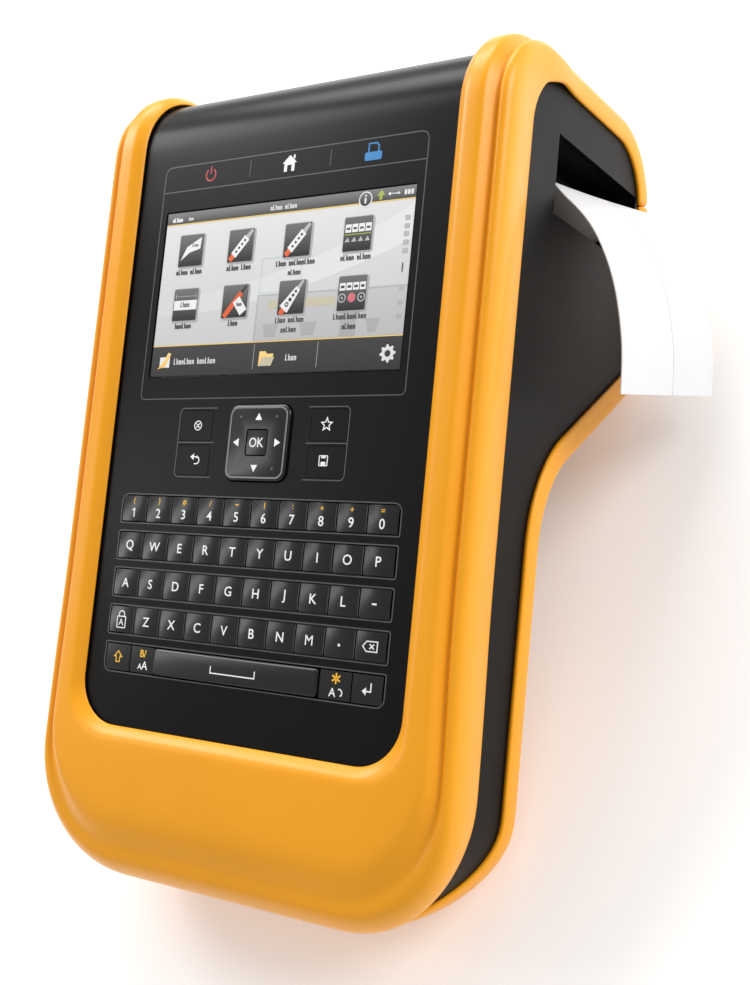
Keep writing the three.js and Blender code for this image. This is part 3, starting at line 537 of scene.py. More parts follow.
for step in range(1, STEPS["back_roll"] + 1):
    angle = math.pi / 2 + seam_angle * step / STEPS["back_roll"]
    y = TOP["y"] - TOP["back_roll"] + TOP["back_roll"] * math.sin(angle)
    z = back_roll_z + TOP["back_roll"] * math.cos(angle)
    rings.append(frame_ring((FACE["x"], y, z), (BAND_X, y, z), (0, math.sin(angle), math.cos(angle)),
                            band=1, depth=BAND_DEPTH))

frame_mesh = bmesh.new()
loft(frame_mesh, rings)
mirror_x(frame_mesh)
finish_piece("yellow_frame", frame_mesh, FINISH["yellow"], "housing", ["front_housing"],
             sharp=80, smooth=2)

# %% [markdown]
# ## The yellow rear shell
#
# It is a second moulding behind the black side panels: two rails that follow the side outline from the
# grip's end, up the slope, to the foot of the cassette door, joined by a bowl-shaped end. It is lofted
# in the same way, from the middle of the grip's end, round the corner and up the rail. Its side outline
# is a path with rounded corners.


# %% A path with rounded corners
RAIL_SPACING = 4.0


def rounded_path(corners, spacing=RAIL_SPACING):
    """Points and left-hand normals along corners given as (u, v, radius); the ends have no radius."""
    stations = []
    points = [Vector(corner[:2]) for corner in corners]
    start = points[0]
    for i in range(1, len(points)):
        along = (points[i] - points[i - 1]).normalized()
        last = i == len(points) - 1
        if last:
            end = points[i]
        else:
            beyond = (points[i + 1] - points[i]).normalized()
            turn = math.atan2(along.x * beyond.y - along.y * beyond.x, along.dot(beyond))
            radius = corners[i][2]
            end = points[i] - along * radius * math.tan(abs(turn) / 2)
        count = max(int((end - start).length / spacing), 1)
        left = Vector((-along.y, along.x))
        stations += [(start.lerp(end, k / count), left) for k in range(count)]
        if last:
            stations.append((end, left))
            break
        centre = end + left * math.copysign(radius, turn)
        arc_steps = max(int(abs(turn) * radius / spacing * 2), 5)
        for k in range(arc_steps):
            turned = Matrix.Rotation(turn * k / arc_steps, 2)
            stations.append((centre + turned @ (end - centre), turned @ left))
        start = centre + Matrix.Rotation(turn, 2) @ (end - centre)
    return stations


# %% Rear shell
GRIP = {"end_y": -107.0, "corner": 33.0, "z": -45.0, "top_y": 18.9, "top_r": 34.0}
HEAD_FOOT = {"y": 60.6, "r": 12.0}
OPENING = {"x": 46.5, "bottom": -79.0, "corner": 8.0}
REAR_SECTION = [
    (0, -2.6), (0, -0.5), (0.4, -0.1), (1.2, 0), (8, 0), (15, 0), (20, 0), (22, -0.15),
    (23.4, -0.7), (24.4, -1.7), (24.9, -3), (25, -4.6), (25, -7), (24.8, -8.5), (24.2, -9),
    (23, -8.6), (22, -6), (19, -3.6), (14, -2.6), (6, -2.6),
]
END_SECTION = [
    (0, -2.6), (0, -0.5), (0.4, -0.1), (1.2, 0), (3, -0.1), (6, -0.6), (9, -1.9), (12, -4),
    (15, -7), (17.6, -10.6), (19.6, -15), (20.8, -20), (21, -26), (21, -31), (20.6, -32),
    (19.2, -31.6), (18, -20), (14.5, -10), (9, -5), (4, -2.8),
]
REAR_SHARES, END_SHARES = as_shares(REAR_SECTION), as_shares(END_SECTION)


def rear_ring(inner, outer, normal, end=0.0):
    """One section of the shell: end says how much of the grip end's section is mixed in."""
    inner, outer, normal = Vector(inner), Vector(outer), Vector(normal)
    return [
        inner + (outer - inner) * (s[0] + (e[0] - s[0]) * end) + normal * (s[1] + (e[1] - s[1]) * end)
        for s, e in zip(REAR_SHARES, END_SHARES)
    ]


rings = []
DOWN_Z = (0, 0, -1)
rear_corner_x = BAND_X - GRIP["corner"]
for step in range(STEPS["chin"]):
    x = rear_corner_x * step / STEPS["chin"]
    rings.append(rear_ring((x, OPENING["bottom"], GRIP["z"]), (x, GRIP["end_y"], GRIP["z"]), DOWN_Z, end=1))
for step in range(STEPS["corner"] + 1):
    angle = math.radians(90 * step / STEPS["corner"])
    sine, cosine = math.sin(angle), math.cos(angle)
    inner = (OPENING["x"] - OPENING["corner"] + OPENING["corner"] * sine,
             OPENING["bottom"] + OPENING["corner"] * (1 - cosine), GRIP["z"])
    outer = (rear_corner_x + GRIP["corner"] * sine,
             GRIP["end_y"] + GRIP["corner"] * (1 - cosine), GRIP["z"])
    end_share = 1 - smoothstep(0.15, 0.95, step / STEPS["corner"])
    rings.append(rear_ring(inner, outer, DOWN_Z, end=end_share))
rail_path = rounded_path([
    (GRIP["end_y"] + GRIP["corner"], GRIP["z"], 0),
    (GRIP["top_y"], GRIP["z"], GRIP["top_r"]),
    (HEAD_FOOT["y"], TOP["back_z"], HEAD_FOOT["r"]),
    (HEAD_FOOT["y"] + 20, TOP["back_z"], 0),
])
DOOR_SEAM = 66.0
# Up to here the rail's inner edge catches up with its outer edge, because it starts further back.
LEAD_END = -20.0
for index, (point, left) in enumerate(rail_path[1:]):
    if point.x > DOOR_SEAM:
        break
    lead = OPENING["bottom"] + OPENING["corner"] + RAIL_SPACING * index
    y_in = min(point.x, lead) if point.x < LEAD_END else point.x
    rings.append(rear_ring((OPENING["x"], y_in, point.y), (BAND_X, point.x, point.y),
                           (0, -left.x, -left.y)))
shell = bmesh.new()
loft(shell, rings)
mirror_x(shell)
finish_piece("rear_shell", shell, FINISH["yellow"], "housing", ["rear_housing"],
             sharp=80, smooth=2)

# %% [markdown]
# ## The black side panels
#
# Each side is one flat black moulding that shows between the two yellow ones, and at the grip's end it
# bends round the corner and runs out to a point where they meet. The outline is drawn flat in the side
# view, given its thickness, sliced across where it has to bend, and then rolled round the corner.


# %% Blocks and flat outlines
def midpoint(span):
    """Halfway through a (low, high) range."""
    return (span[0] + span[1]) / 2


def bevel_edges(bm, edges, width, segments):
    """Rounds the given edges."""
    bmesh.ops.bevel(bm, geom=edges, offset=width, segments=segments, profile=0.5,
                    affect="EDGES", material=-1)


def rounded_block(bm, x, y, z, radius=0.0, segments=4):
    """A box from three (low, high) ranges, with its upright edges rounded."""
    size = [high - low for low, high in (x, y, z)]
    place = Matrix.Translation([midpoint(span) for span in (x, y, z)]) @ Matrix.Diagonal((*size, 1))
    made = bmesh.ops.create_cube(bm, size=1, matrix=place)
    if radius:
        edges = {e for v in made["verts"] for e in v.link_edges}
        upright = [e for e in edges if (e.verts[0].co - e.verts[1].co).xy.length < 1e-4]
        bevel_edges(bm, upright, radius, segments)


def pull_face(bm, points, way):
    """A flat face through the points, pulled along a vector into a solid."""
    face = bm.faces.new([bm.verts.new(point) for point in points])
    grown = bmesh.ops.extrude_face_region(bm, geom=[face], use_keep_orig=True)["geom"]
    bmesh.ops.translate(bm, verts=[v for v in grown if isinstance(v, bmesh.types.BMVert)], vec=way)


OUTLINE_SPACING = 3.0


def thick_outline(bm, corners, x0, x1):
    """A flat outline in (y, z) with rounded corners, made thick from x0 to x1."""
    ring = rounded_path(corners, OUTLINE_SPACING)
    pull_face(bm, [(x0, point.x, point.y) for point, _ in ring[:-1]], (x1 - x0, 0, 0))


# %% Side panels
SIDE_X, SIDE_THICK = 69.8, 2.4
WRAP = 46.0  # length of the panel that bends round the grip's end
WRAP_SLICES = 16  # cuts across that length, so that it can bend
BEND_Y = GRIP["end_y"] + GRIP["corner"]
# Corners as (y, z, radius). The lower edge rises round the grip's end, so it stays inside the sloping
# rear shell.
side_corners = [
    (40, -13.5, 0), (140, -13.5, 10), (140, -101, 23), (121.8, -101, 0.5), (121.8, -96.3, 0.5),
    (60, -96.3, 8), (21.5, -40, 38), (BEND_Y - 8, -40, 4), (BEND_Y - 38, -24, 4),
    (BEND_Y - WRAP, -23, 0.5), (BEND_Y - WRAP, -13.5, 0.5), (40, -13.5, 0),
]
EXIT = {"bottom": 98.6, "top": 122.5, "near": -37.0, "far": -95.3, "floor_x": 54.0}


def side_panel(name, side, holes=None):
    """The left (-1) or right (1) panel, flat up to BEND_Y and rolled round the grip's corner beyond it."""
    bm = bmesh.new()
    thick_outline(bm, side_corners, SIDE_X - SIDE_THICK, SIDE_X)
    for step in range(WRAP_SLICES):
        bmesh.ops.bisect_plane(bm, geom=bm.verts[:] + bm.edges[:] + bm.faces[:],
                               plane_co=(0, BEND_Y - OUTLINE_SPACING * step, 0), plane_no=(0, 1, 0))
    for vert in bm.verts:
        beyond = BEND_Y - vert.co.y
        if beyond > 0:
            reach = vert.co.x - rear_corner_x
            angle = beyond / (SIDE_X - rear_corner_x)
            vert.co.x = rear_corner_x + reach * math.cos(angle)
            vert.co.y = BEND_Y - reach * math.sin(angle)
    if side < 0:
        bmesh.ops.scale(bm, vec=(-1, 1, 1), verts=bm.verts)
    return finish_piece(name, bm, FINISH["side"], "housing", [name.replace("black_", "")],
                        holes=holes, rounding=0.25)


exit_hole = bmesh.new()
rounded_block(exit_hole, (60, 75), (EXIT["bottom"], EXIT["top"]), (EXIT["far"], EXIT["near"]))
side_panel("black_left_side_panel", -1)
side_panel("black_right_side_panel", 1, exit_hole)

# The recess behind the opening: a tray with a slot for the label in its floor.
pocket = bmesh.new()
rounded_block(pocket, (EXIT["floor_x"], SIDE_X - 0.1), (EXIT["bottom"], EXIT["top"]),
              (EXIT["far"], EXIT["near"]))
outer_faces = [f for f in pocket.faces if f.calc_center_median().x > SIDE_X - 0.5]
bmesh.ops.delete(pocket, geom=outer_faces, context="FACES_ONLY")
bmesh.ops.recalc_face_normals(pocket, faces=pocket.faces)
bmesh.ops.solidify(pocket, geom=pocket.faces[:], thickness=-1.2)
label_slot = bmesh.new()
rounded_block(label_slot, (50, 58), (103, 111), (EXIT["far"] + 0.8, EXIT["near"] - 0.8))
finish_piece("exit_pocket", pocket, FINISH["side"], "housing", holes=label_slot, rounding=0.3)

# %% [markdown]
# ## The black face
#
# One sheet of lacquered black plastic lies flat under the screen and the keys and rolls over the top.
# Its section is drawn once and pulled across the device; then its lower corners are rounded and the
# windows are cut.

# %% Face panel
KEY = {"pitch": 10.15, "count": 10, "height": 8.0, "row": 11.4, "first_top": 7.9, "gap": 0.4}
ROW_HALF = KEY["pitch"] * KEY["count"] / 2
SPACE_BAR = (-30.9, 29.8)
NAV = {"y": 24.5, "half": 11.25, "ok": 3.6}
SIDE_KEYS = {
    "cancel_key": (-24.6, 29.8), "back_key": (-24.6, 19.2), "favourite_key": (24.6, 29.8),
    "save_key": (24.6, 19.2),
}
SIDE_KEY_HALF = (6.3, 4.5)
SHEET_Z = -3.4
PANEL = {"under": 1.2, "thick": 2.2, "top": 141.0, "roll": 22.5, "back_z": -44.0}
CLEAR = 0.3  # round each window
ROW_CORNERS = {0: (0.5, 0.5, 2.4, 2.4), 4: (2.4, 2.4, 0.5, 0.5)}  # from the lower left corner of the row


def row_top(row):
    """The y of a key row's upper edge; row 4 is the one with the space bar."""
    return KEY["first_top"] - row * KEY["row"]


def arc_points(centre, radius, start, end, count):
    """The points of an arc in count parts, from one angle to the other in degrees."""
    step = (end - start) / count
    return [(centre[0] + radius * math.cos(math.radians(start + step * i)),
             centre[1] + radius * math.sin(math.radians(start + step * i))) for i in range(count + 1)]


CORNER_PARTS = 6


def rounded_corners(x0, y0, x1, y1, radius):
    """Points round a rectangle with rounded corners; radius may be four values, from the lower left one."""
    radii = radius if isinstance(radius, tuple) else (radius,) * 4
    points = []
    corners = ((x0, y0, 1, 1), (x1, y0, -1, 1), (x1, y1, -1, -1), (x0, y1, 1, -1))
    for i, (x, y, sx, sy) in enumerate(corners):
        centre = (x + sx * radii[i], y + sy * radii[i])
        if radii[i]:
            points += arc_points(centre, radii[i], 180 + 90 * i, 270 + 90 * i, CORNER_PARTS)
        else:
            points.append((x, y))
    return points


def thick_plate(bm, points, z0, z1):
    """A flat outline in (x, y), made thick from z0 to z1."""
    pull_face(bm, [(x, y, z0) for x, y in points], (0, 0, z1 - z0))


ROUND_KEY = 2.1  # radius of an outer key's corner
SLOT_DEPTH = 5  # windows are cut from this far above the face to this far below it


def outer_corners(row, sides=(-1, 1)):
    """What is cut off the outer keys of the first and last rows, so that they follow the row's corners."""
    radius = ROUND_KEY
    bm = bmesh.new()
    up = 1 if row == 0 else -1
    corner_y = row_top(row) - 0.1 if row == 0 else row_top(row) - KEY["height"] + 0.1
    for side in sides:
        corner = (side * (ROW_HALF - KEY["gap"] / 2), corner_y)
        centre = (corner[0] - side * radius, corner[1] - up * radius)
        start = {(1, 1): 0, (-1, 1): 90, (-1, -1): 180, (1, -1): 270}[(side, up)]
        beyond = (corner[0] + side, corner[1] + up)
        arc = arc_points(centre, radius, start, start + 90, 8)
        first, last = arc[0], arc[-1]
        if side * up > 0:
            around = [(last[0], beyond[1]), beyond, (beyond[0], first[1])]
        else:
            around = [(beyond[0], last[1]), beyond, (first[0], beyond[1])]
        thick_plate(bm, arc + around, SHEET_Z + 0.05, 4)
    return bm


half = FACE["x"] + PANEL["under"]
foot = FACE["bottom"] - PANEL["under"]
outer_line = rounded_path([(foot, 0, 0), (PANEL["top"], 0, PANEL["roll"]),
                           (PANEL["top"], PANEL["back_z"], 0)])
face_section = [p for p, _ in outer_line] + [p - left * PANEL["thick"] for p, left in reversed(outer_line)]
face_mesh = bmesh.new()
pull_face(face_mesh, [(-half, p.x, p.y) for p in face_section], (2 * half, 0, 0))
upright = [
    e for e in face_mesh.edges
    if all(abs(v.co.y - foot) < 0.01 for v in e.verts) and abs(e.verts[0].co.z - e.verts[1].co.z) > 1
]
bevel_edges(face_mesh, upright, FACE["corner"], 10)
windows = bmesh.new()
for row in range(5):
    window = rounded_corners(-ROW_HALF - CLEAR, row_top(row) - KEY["height"] - CLEAR,
                             ROW_HALF + CLEAR, row_top(row) + CLEAR, ROW_CORNERS.get(row, 0.5))
    thick_plate(windows, window, -SLOT_DEPTH, SLOT_DEPTH)
rounded_block(windows, (-NAV["half"] - CLEAR, NAV["half"] + CLEAR),
              (NAV["y"] - NAV["half"] - CLEAR, NAV["y"] + NAV["half"] + CLEAR), (-SLOT_DEPTH, SLOT_DEPTH),
              3.4)
for x, y in SIDE_KEYS.values():
    rounded_block(windows, (x - SIDE_KEY_HALF[0] - CLEAR / 2, x + SIDE_KEY_HALF[0] + CLEAR / 2),
                  (y - SIDE_KEY_HALF[1] - CLEAR / 2, y + SIDE_KEY_HALF[1] + CLEAR / 2),
                  (-SLOT_DEPTH, SLOT_DEPTH), 0.6)
rounded_block(windows, (-SCREEN["x"] - CLEAR, SCREEN["x"] + CLEAR),
              (SCREEN["bottom"] - CLEAR, SCREEN["top"] + CLEAR), (-SLOT_DEPTH, SLOT_DEPTH), 0.8)
finish_piece("face_panel", face_mesh, FINISH["face"], "housing", ["front_panel"],
             holes=windows,
             rounding=0.12)

# %% [markdown]
# ## Keys
#
# The letter keys are hard glossy caps on a rubber sheet. Each cap is a little pillow: higher in the
# middle than at its edges, which is what makes the light slide across it. A grid is bent to that
# pillow, its edge is pulled down to the sheet and closed.


# %% Pillowed key caps
KEY_TOP, CROWN_X, CROWN_Y = 0.6, 0.42, 0.14
CAP_INSET = 0.1  # between a cap's edge and its row's edge


def key_cap(bm, x, y, top, crown=(CROWN_X, CROWN_Y), cells=(8, 6)):
    """A cap over the ranges x and y, pillowed across and along, closed down to the rubber sheet."""
    centre = Vector((midpoint(x), midpoint(y), top))
    halves = ((x[1] - x[0]) / 2, (y[1] - y[0]) / 2)
    place = Matrix.Translation(centre) @ Matrix.Diagonal((halves[0] * 2, halves[1] * 2, 1, 1))
    made = bmesh.ops.create_grid(bm, x_segments=cells[0], y_segments=cells[1], size=0.5,
                                 matrix=place)["verts"]
    for vert in made:
        u, v = (vert.co.x - centre.x) / halves[0], (vert.co.y - centre.y) / halves[1]
        vert.co.z = top - crown[0] * u * u - crown[1] * v * v
    rim = [e for v in made for e in v.link_edges if e.is_boundary]
    down = bmesh.ops.extrude_edge_only(bm, edges=list(set(rim)))["geom"]
    low = [v for v in down if isinstance(v, bmesh.types.BMVert)]
    for vert in low:
        vert.co.z = SHEET_Z
    under = [e for e in down if isinstance(e, bmesh.types.BMEdge) and all(v in low for v in e.verts)]
    bmesh.ops.contextual_create(bm, geom=under)


def key_places(row):
    """The x and y ranges of the ten caps of a row."""
    half_cap = (KEY["pitch"] - KEY["gap"]) / 2
    middles = [(i - (KEY["count"] - 1) / 2) * KEY["pitch"] for i in range(KEY["count"])]
    y_range = (row_top(row) - KEY["height"] + CAP_INSET, row_top(row) - CAP_INSET)
    return [((m - half_cap, m + half_cap), y_range) for m in middles]


def pillow(x_range, y_range, top=KEY_TOP, crown=(CROWN_X, CROWN_Y)):
    """The height of a cap's surface, so that its legend can follow it."""
    mid = (midpoint(x_range), midpoint(y_range))
    reach = ((x_range[1] - x_range[0]) / 2, (y_range[1] - y_range[0]) / 2)

    def height(x, y):
        return top - crown[0] * ((x - mid[0]) / reach[0]) ** 2 - crown[1] * ((y - mid[1]) / reach[1]) ** 2

    return height


for row in range(4):
    caps = bmesh.new()
    for x_range, y_range in key_places(row):
        key_cap(caps, x_range, y_range, KEY_TOP)
    rounded_block(caps, (-ROW_HALF - 1, ROW_HALF + 1), (row_top(row) - KEY["height"] - 1, row_top(row) + 1),
                  (SHEET_Z - 1.2, SHEET_Z - 0.01))
    finish_piece(f"keycaps_row_{row + 1}", caps, FINISH["key"], f"key_row_{row + 1}",
                 [f"key_row_{row + 1}"], sharp=30, holes=outer_corners(0) if row == 0 else None)

BOTTOM_KEYS = {
    "shift_key": (-ROW_HALF, -ROW_HALF + KEY["pitch"]),
    "font_key": (-ROW_HALF + KEY["pitch"], SPACE_BAR[0]),
    "accent_key": (SPACE_BAR[1], ROW_HALF - KEY["pitch"]),
    "enter_key": (ROW_HALF - KEY["pitch"], ROW_HALF),
}
bottom_y = (row_top(4) - KEY["height"] + CAP_INSET, row_top(4) - CAP_INSET)
for name, (left, right) in BOTTOM_KEYS.items():
    cap = bmesh.new()
    key_cap(cap, (left + 0.2, right - 0.2), bottom_y, 0.2, crown=(0.08, 0.08))
    ends = {"shift_key": (-1,), "enter_key": (1,)}.get(name)
    finish_piece(name + "_cap", cap, FINISH["key"], name, [name], sharp=30,
                 holes=outer_corners(4, ends) if ends else None)

# The space bar stands proud: a flat top with a wide bevel all round.
bar_mesh = bmesh.new()
rounded_block(bar_mesh, (SPACE_BAR[0] + 0.3, SPACE_BAR[1] - 0.3), bottom_y, (SHEET_Z, 1.0), 0.9)
top_edges = [e for e in bar_mesh.edges if all(v.co.z > 0.9 for v in e.verts)]
bevel_edges(bar_mesh, top_edges, 0.75, 4)
finish_piece("space_bar_cap", bar_mesh, FINISH["key"], "space_bar", ["space_bar"], sharp=30)

# %% Four-way pad, its centre key and the four flat keys beside it
pad = bmesh.new()
h = NAV["half"]
rounded_block(pad, (-h, h), (NAV["y"] - h, NAV["y"] + h), (-3.1, 1.1), 3.2, segments=6)
bevel_edges(pad, [e for e in pad.edges if all(v.co.z > 1 for v in e.verts)], 0.7, 4)
pad_hole = bmesh.new()
ok_gap = NAV["ok"] + 0.4
rounded_block(pad_hole, (-ok_gap, ok_gap), (NAV["y"] - ok_gap, NAV["y"] + ok_gap),
              (-SLOT_DEPTH, SLOT_DEPTH), 0.8)
finish_piece("four_way_pad", pad, FINISH["key"], "nav_pad", ["nav_pad"],
             holes=pad_hole, sharp=30)
ok = bmesh.new()
OK_TOP, OK_CROWN = 1.15, (0.12, 0.12)
key_cap(ok, (-NAV["ok"], NAV["ok"]), (NAV["y"] - NAV["ok"], NAV["y"] + NAV["ok"]), OK_TOP, crown=OK_CROWN)
finish_piece("ok_cap", ok, FINISH["key"], "ok_key", ["ok_key"], sharp=30)
for name, (x, y) in SIDE_KEYS.items():
    flat = bmesh.new()
    key_cap(flat, (x - SIDE_KEY_HALF[0], x + SIDE_KEY_HALF[0]),
            (y - SIDE_KEY_HALF[1], y + SIDE_KEY_HALF[1]), 0.02,
            crown=(0, 0), cells=(2, 2))
    finish_piece(name + "_cap", flat, FINISH["face"], name, [name], sharp=30)

# %% [markdown]
# ## Printing
#
# On the real device the outlines and letters are printed under a clear lacquer. Here each colour on
# each key strip is one very thin sheet: flat shapes drawn in millimetres, given a thickness of a few
# hundredths, and laid on the surface below. A sheet rides on the same body as the key that it is
# printed on, so it goes down with the key.

# %% Flat shapes
INK_THICK = 0.04
INK_SUNK = 0.012  # how far a sheet goes into the surface below
CAPITAL_SHARE = 0.69  # of the font's size, its capitals' height


def polygon(bm, points):
    bm.faces.new([bm.verts.new((x, y, 0)) for x, y in points])


def bar(bm, a, b, width):
    """A straight stroke from a to b."""
    a, b = Vector(a), Vector(b)
    side = (b - a).normalized().orthogonal() * width / 2
    polygon(bm, [a + side, a - side, b - side, b + side])


def disc(bm, centre, radius, count=24):
    polygon(bm, arc_points(centre, radius, 0, 360, count)[:-1])


def stroke(bm, points, width, closed=False, longest=4.0):
    """A line of constant width through the points, mitred at the corners, in parts no longer than given."""
    corners = [Vector((x, y, 0)) for x, y in points]
    points = []
    for a, b in zip(corners, corners[1:] + (corners[:1] if closed else [])):
        parts = max(math.ceil((b - a).length / longest), 1)
        points += [a.lerp(b, k / parts) for k in range(parts)]
    points += [] if closed else corners[-1:]
    pairs = []
    for i, point in enumerate(points):
        before = points[i - 1] if i or closed else None
        after = points[(i + 1) % len(points)] if i + 1 < len(points) or closed else None
        ways = [(b - a).normalized() for a, b in ((before, point), (point, after)) if a and b]
        way = sum(ways, Vector()).normalized()
        left = Vector((-way.y, way.x, 0))
        reach = width / 2 / max(abs(ways[0].dot(way)), 0.4)
        pairs.append((bm.verts.new(point + left * reach), bm.verts.new(point - left * reach)))
    for i in range(len(pairs) if closed else len(pairs) - 1):
        (a, b), (c, d) = pairs[i], pairs[(i + 1) % len(pairs)]
        bm.faces.new((a, b, d, c))


def plate(bm, x0, y0, x1, y1, radius=0.0):
    """A filled rectangle."""
    polygon(bm, rounded_corners(x0, y0, x1, y1, radius))


def outline(bm, x0, y0, x1, y1, radius, width):
    """The edge of a rectangle, as a line of the given width."""
    stroke(bm, rounded_corners(x0, y0, x1, y1, radius), width, closed=True)


def letter(bm, text, centre, height, weight=0.0, stretch=1.0):
    """A letter, digit or sign, or a few; height is that of a capital, and its own box is centred."""
    curve = bpy.data.curves.new("letter", "FONT")
    curve.body = text
    curve.size = height / CAPITAL_SHARE
    curve.offset = weight
    curve.resolution_u = 4
    holder = bpy.data.objects.new("letter", curve)
    shape = bpy.data.meshes.new_from_object(holder)
    places = [[v.co[axis] for v in shape.vertices] for axis in (0, 1)]
    middle = [(max(along) + min(along)) / 2 for along in places]
    shape.transform(Matrix.Translation((*centre, 0)) @ Matrix.Diagonal((stretch, 1, 1, 1))
                    @ Matrix.Translation((-middle[0], -middle[1], 0)))
    bm.from_mesh(shape)
    bpy.data.meshes.remove(shape)
    bpy.data.objects.remove(holder)
    bpy.data.curves.remove(curve)


def level(z):
    """The height function of a flat surface."""
    return lambda x, y: z


def print_sheet(name, bm, material, body, height=level(0.0), thick=INK_THICK):
    """Gives the flat shapes a thickness and lays them on a surface; height is a function of x and y."""
    flat = bm.faces[:]
    for face in flat:
        if face.normal.z < 0 or face.calc_area() == 0:
            face.normal_flip()
    grown = bmesh.ops.extrude_face_region(bm, geom=flat, use_keep_orig=True)["geom"]
    top = {v for v in grown if isinstance(v, bmesh.types.BMVert)}
    for vert in bm.verts:
        lift = thick if vert in top else -INK_SUNK
        vert.co.z = height(vert.co.x, vert.co.y) + lift
    return finish_piece(name, bm, material, body, sharp=30, merge=0.0005)


# %% Printing on the face
THIN_LINE = 0.3
lines = bmesh.new()
stroke(lines, rounded_corners(-48.7, 38, 48.7, 112.4, (1.5, 1.5, 2.5, 2.5)), THIN_LINE, closed=True)
bar(lines, (-48.6, 104.2), (48.6, 104.2), THIN_LINE)
for x in (-14.3, 15.6):
    bar(lines, (x, 106), (x, 111), 0.22)
for sx in (-1, 1):
    near, far = 17.0 * sx, 31.3 * sx
    bend = arc_points((far - 1.5 * sx, 33.5), 1.5, 90, 90 - 90 * sx, 5)
    down = arc_points((far - 1.5 * sx, 15.6), 1.5, 90 - 90 * sx, 90 - 180 * sx, 5)
    stroke(lines, [(near, 35)] + bend + down + [(near, 14.1)], THIN_LINE)
    bar(lines, (near, 24.55), (far, 24.55), THIN_LINE)
for row in range(5):
    outline(lines, -ROW_HALF - 0.5, row_top(row) - KEY["height"] - 0.5, ROW_HALF + 0.5, row_top(row) + 0.5,
            ROW_CORNERS.get(row, 0.7), 0.34)
print_sheet("face_outlines", lines, INK["line"], "housing")

power = bmesh.new()
stroke(power, arc_points((-29.9, 108.4), 1.9, 125, 415, 20), 0.5)
bar(power, (-29.9, 108.7), (-29.9, 111.1), 0.5)
print_sheet("power_symbol", power, INK["red"], "housing")
home = bmesh.new()
polygon(home, [(-2, 108.6), (0.6, 111), (3.2, 108.6), (2.5, 108.6), (2.5, 106), (1.4, 106),
               (1.4, 108), (-0.2, 108), (-0.2, 106), (-1.3, 106), (-1.3, 108.6)])
plate(home, 1.9, 109.8, 2.5, 111)
print_sheet("home_symbol", home, INK["white"], "housing")
printer = bmesh.new()
plate(printer, 27.6, 105.9, 33.4, 108.4, 0.5)
stroke(printer, [(28.8, 108.4), (28.8, 110.9), (31.4, 110.9), (32.2, 110.1), (32.2, 108.4)], 0.45)
print_sheet("print_symbol", printer, INK["blue"], "housing")

# %% Letters on the keys
ROWS = ["1234567890", "QWERTYUIOP", "ASDFGHJKL-", " ZXCVBNM. "]
SIGNS = "()#/-|:*+="
LETTER_TALL, LETTER_WEIGHT = 2.75, 0.03
LETTER_DROP = {0: 1.3}  # below the middle of the key: the digits leave room for the signs above them
for row, signs in enumerate(ROWS):
    places = key_places(row)
    heights = [pillow(x_range, y_range) for x_range, y_range in places]

    def strip_height(x, y, heights=heights):
        index = min(max(int((x + ROW_HALF) // KEY["pitch"]), 0), KEY["count"] - 1)
        return heights[index](x, y)

    white = bmesh.new()
    for sign, (x_range, y_range) in zip(signs, places):
        centre = (midpoint(x_range), midpoint(y_range) - LETTER_DROP.get(row, 0.1))
        if sign == "-":
            bar(white, (centre[0] - 0.75, centre[1]), (centre[0] + 0.75, centre[1]), 0.5)
        elif sign == "1":
            x, y = centre
            polygon(white, [(x + 0.1, y - 1.38), (x + 0.5, y - 1.38), (x + 0.5, y + 1.38),
                            (x + 0.15, y + 1.38), (x - 0.6, y + 0.85), (x - 0.4, y + 0.5),
                            (x + 0.1, y + 0.82)])
        elif sign == ".":
            plate(white, centre[0] - 0.35, centre[1] - 0.75, centre[0] + 0.35, centre[1] - 0.05)
        elif sign != " ":
            letter(white, sign, centre, LETTER_TALL, 0 if sign == "M" else LETTER_WEIGHT)
    if row == 3:
        lock_x, back_x = midpoint(places[0][0]), midpoint(places[-1][0])
        y = midpoint(places[0][1])
        outline(white, lock_x - 1.7, y - 2.5, lock_x + 1.7, y + 0.9, 0.3, 0.32)
        shackle = arc_points((lock_x, y + 1.5), 1.1, 180, 0, 8)
        stroke(white, [(lock_x - 1.1, y + 0.9)] + shackle + [(lock_x + 1.1, y + 0.9)], 0.3)
        letter(white, "A", (lock_x, y - 0.8), 2.0)
        stroke(white, [(back_x - 2.5, y), (back_x - 1.2, y - 1.35), (back_x + 2.2, y - 1.35),
                       (back_x + 2.2, y + 1.35), (back_x - 1.2, y + 1.35)],
               0.32, closed=True, longest=0.8)
        for way in (-1, 1):
            bar(white, (back_x - 0.2, y - 0.65 * way), (back_x + 1.2, y + 0.65 * way), 0.34)
    edges = bmesh.new()
    for x_range, y_range in places:
        low = y_range[0] + 0.3
        high = y_range[1] - 0.3
        for x, side in ((x_range[0], 1), (x_range[1], -1)):
            if abs(x) > ROW_HALF - 1:
                continue
            stroke(edges, [(x + 0.14 * side, low), (x + 0.14 * side, high)], 0.16, longest=0.8)
    body = f"key_row_{row + 1}"
    print_sheet(f"row_{row + 1}_edges", edges, INK["line"], body, strip_height)
    print_sheet(f"row_{row + 1}_letters", white, INK["white"], body, strip_height)
    if row == 0:
        yellow = bmesh.new()
        for sign, (x_range, y_range) in zip(SIGNS, places):
            centre = (midpoint(x_range), y_range[1] - 1.6)
            if sign == "-":
                bar(yellow, (centre[0] - 0.6, centre[1]), (centre[0] + 0.6, centre[1]), 0.4)
            elif sign == "|":
                bar(yellow, (centre[0], centre[1] - 0.9), (centre[0], centre[1] + 0.9), 0.3)
            else:
                letter(yellow, sign, centre, 1.7, 0.02)
        print_sheet("row_1_signs", yellow, INK["yellow"], body, strip_height)

# %% Symbols on the bottom row
y = midpoint(bottom_y)
on_plain_key = level(0.16)


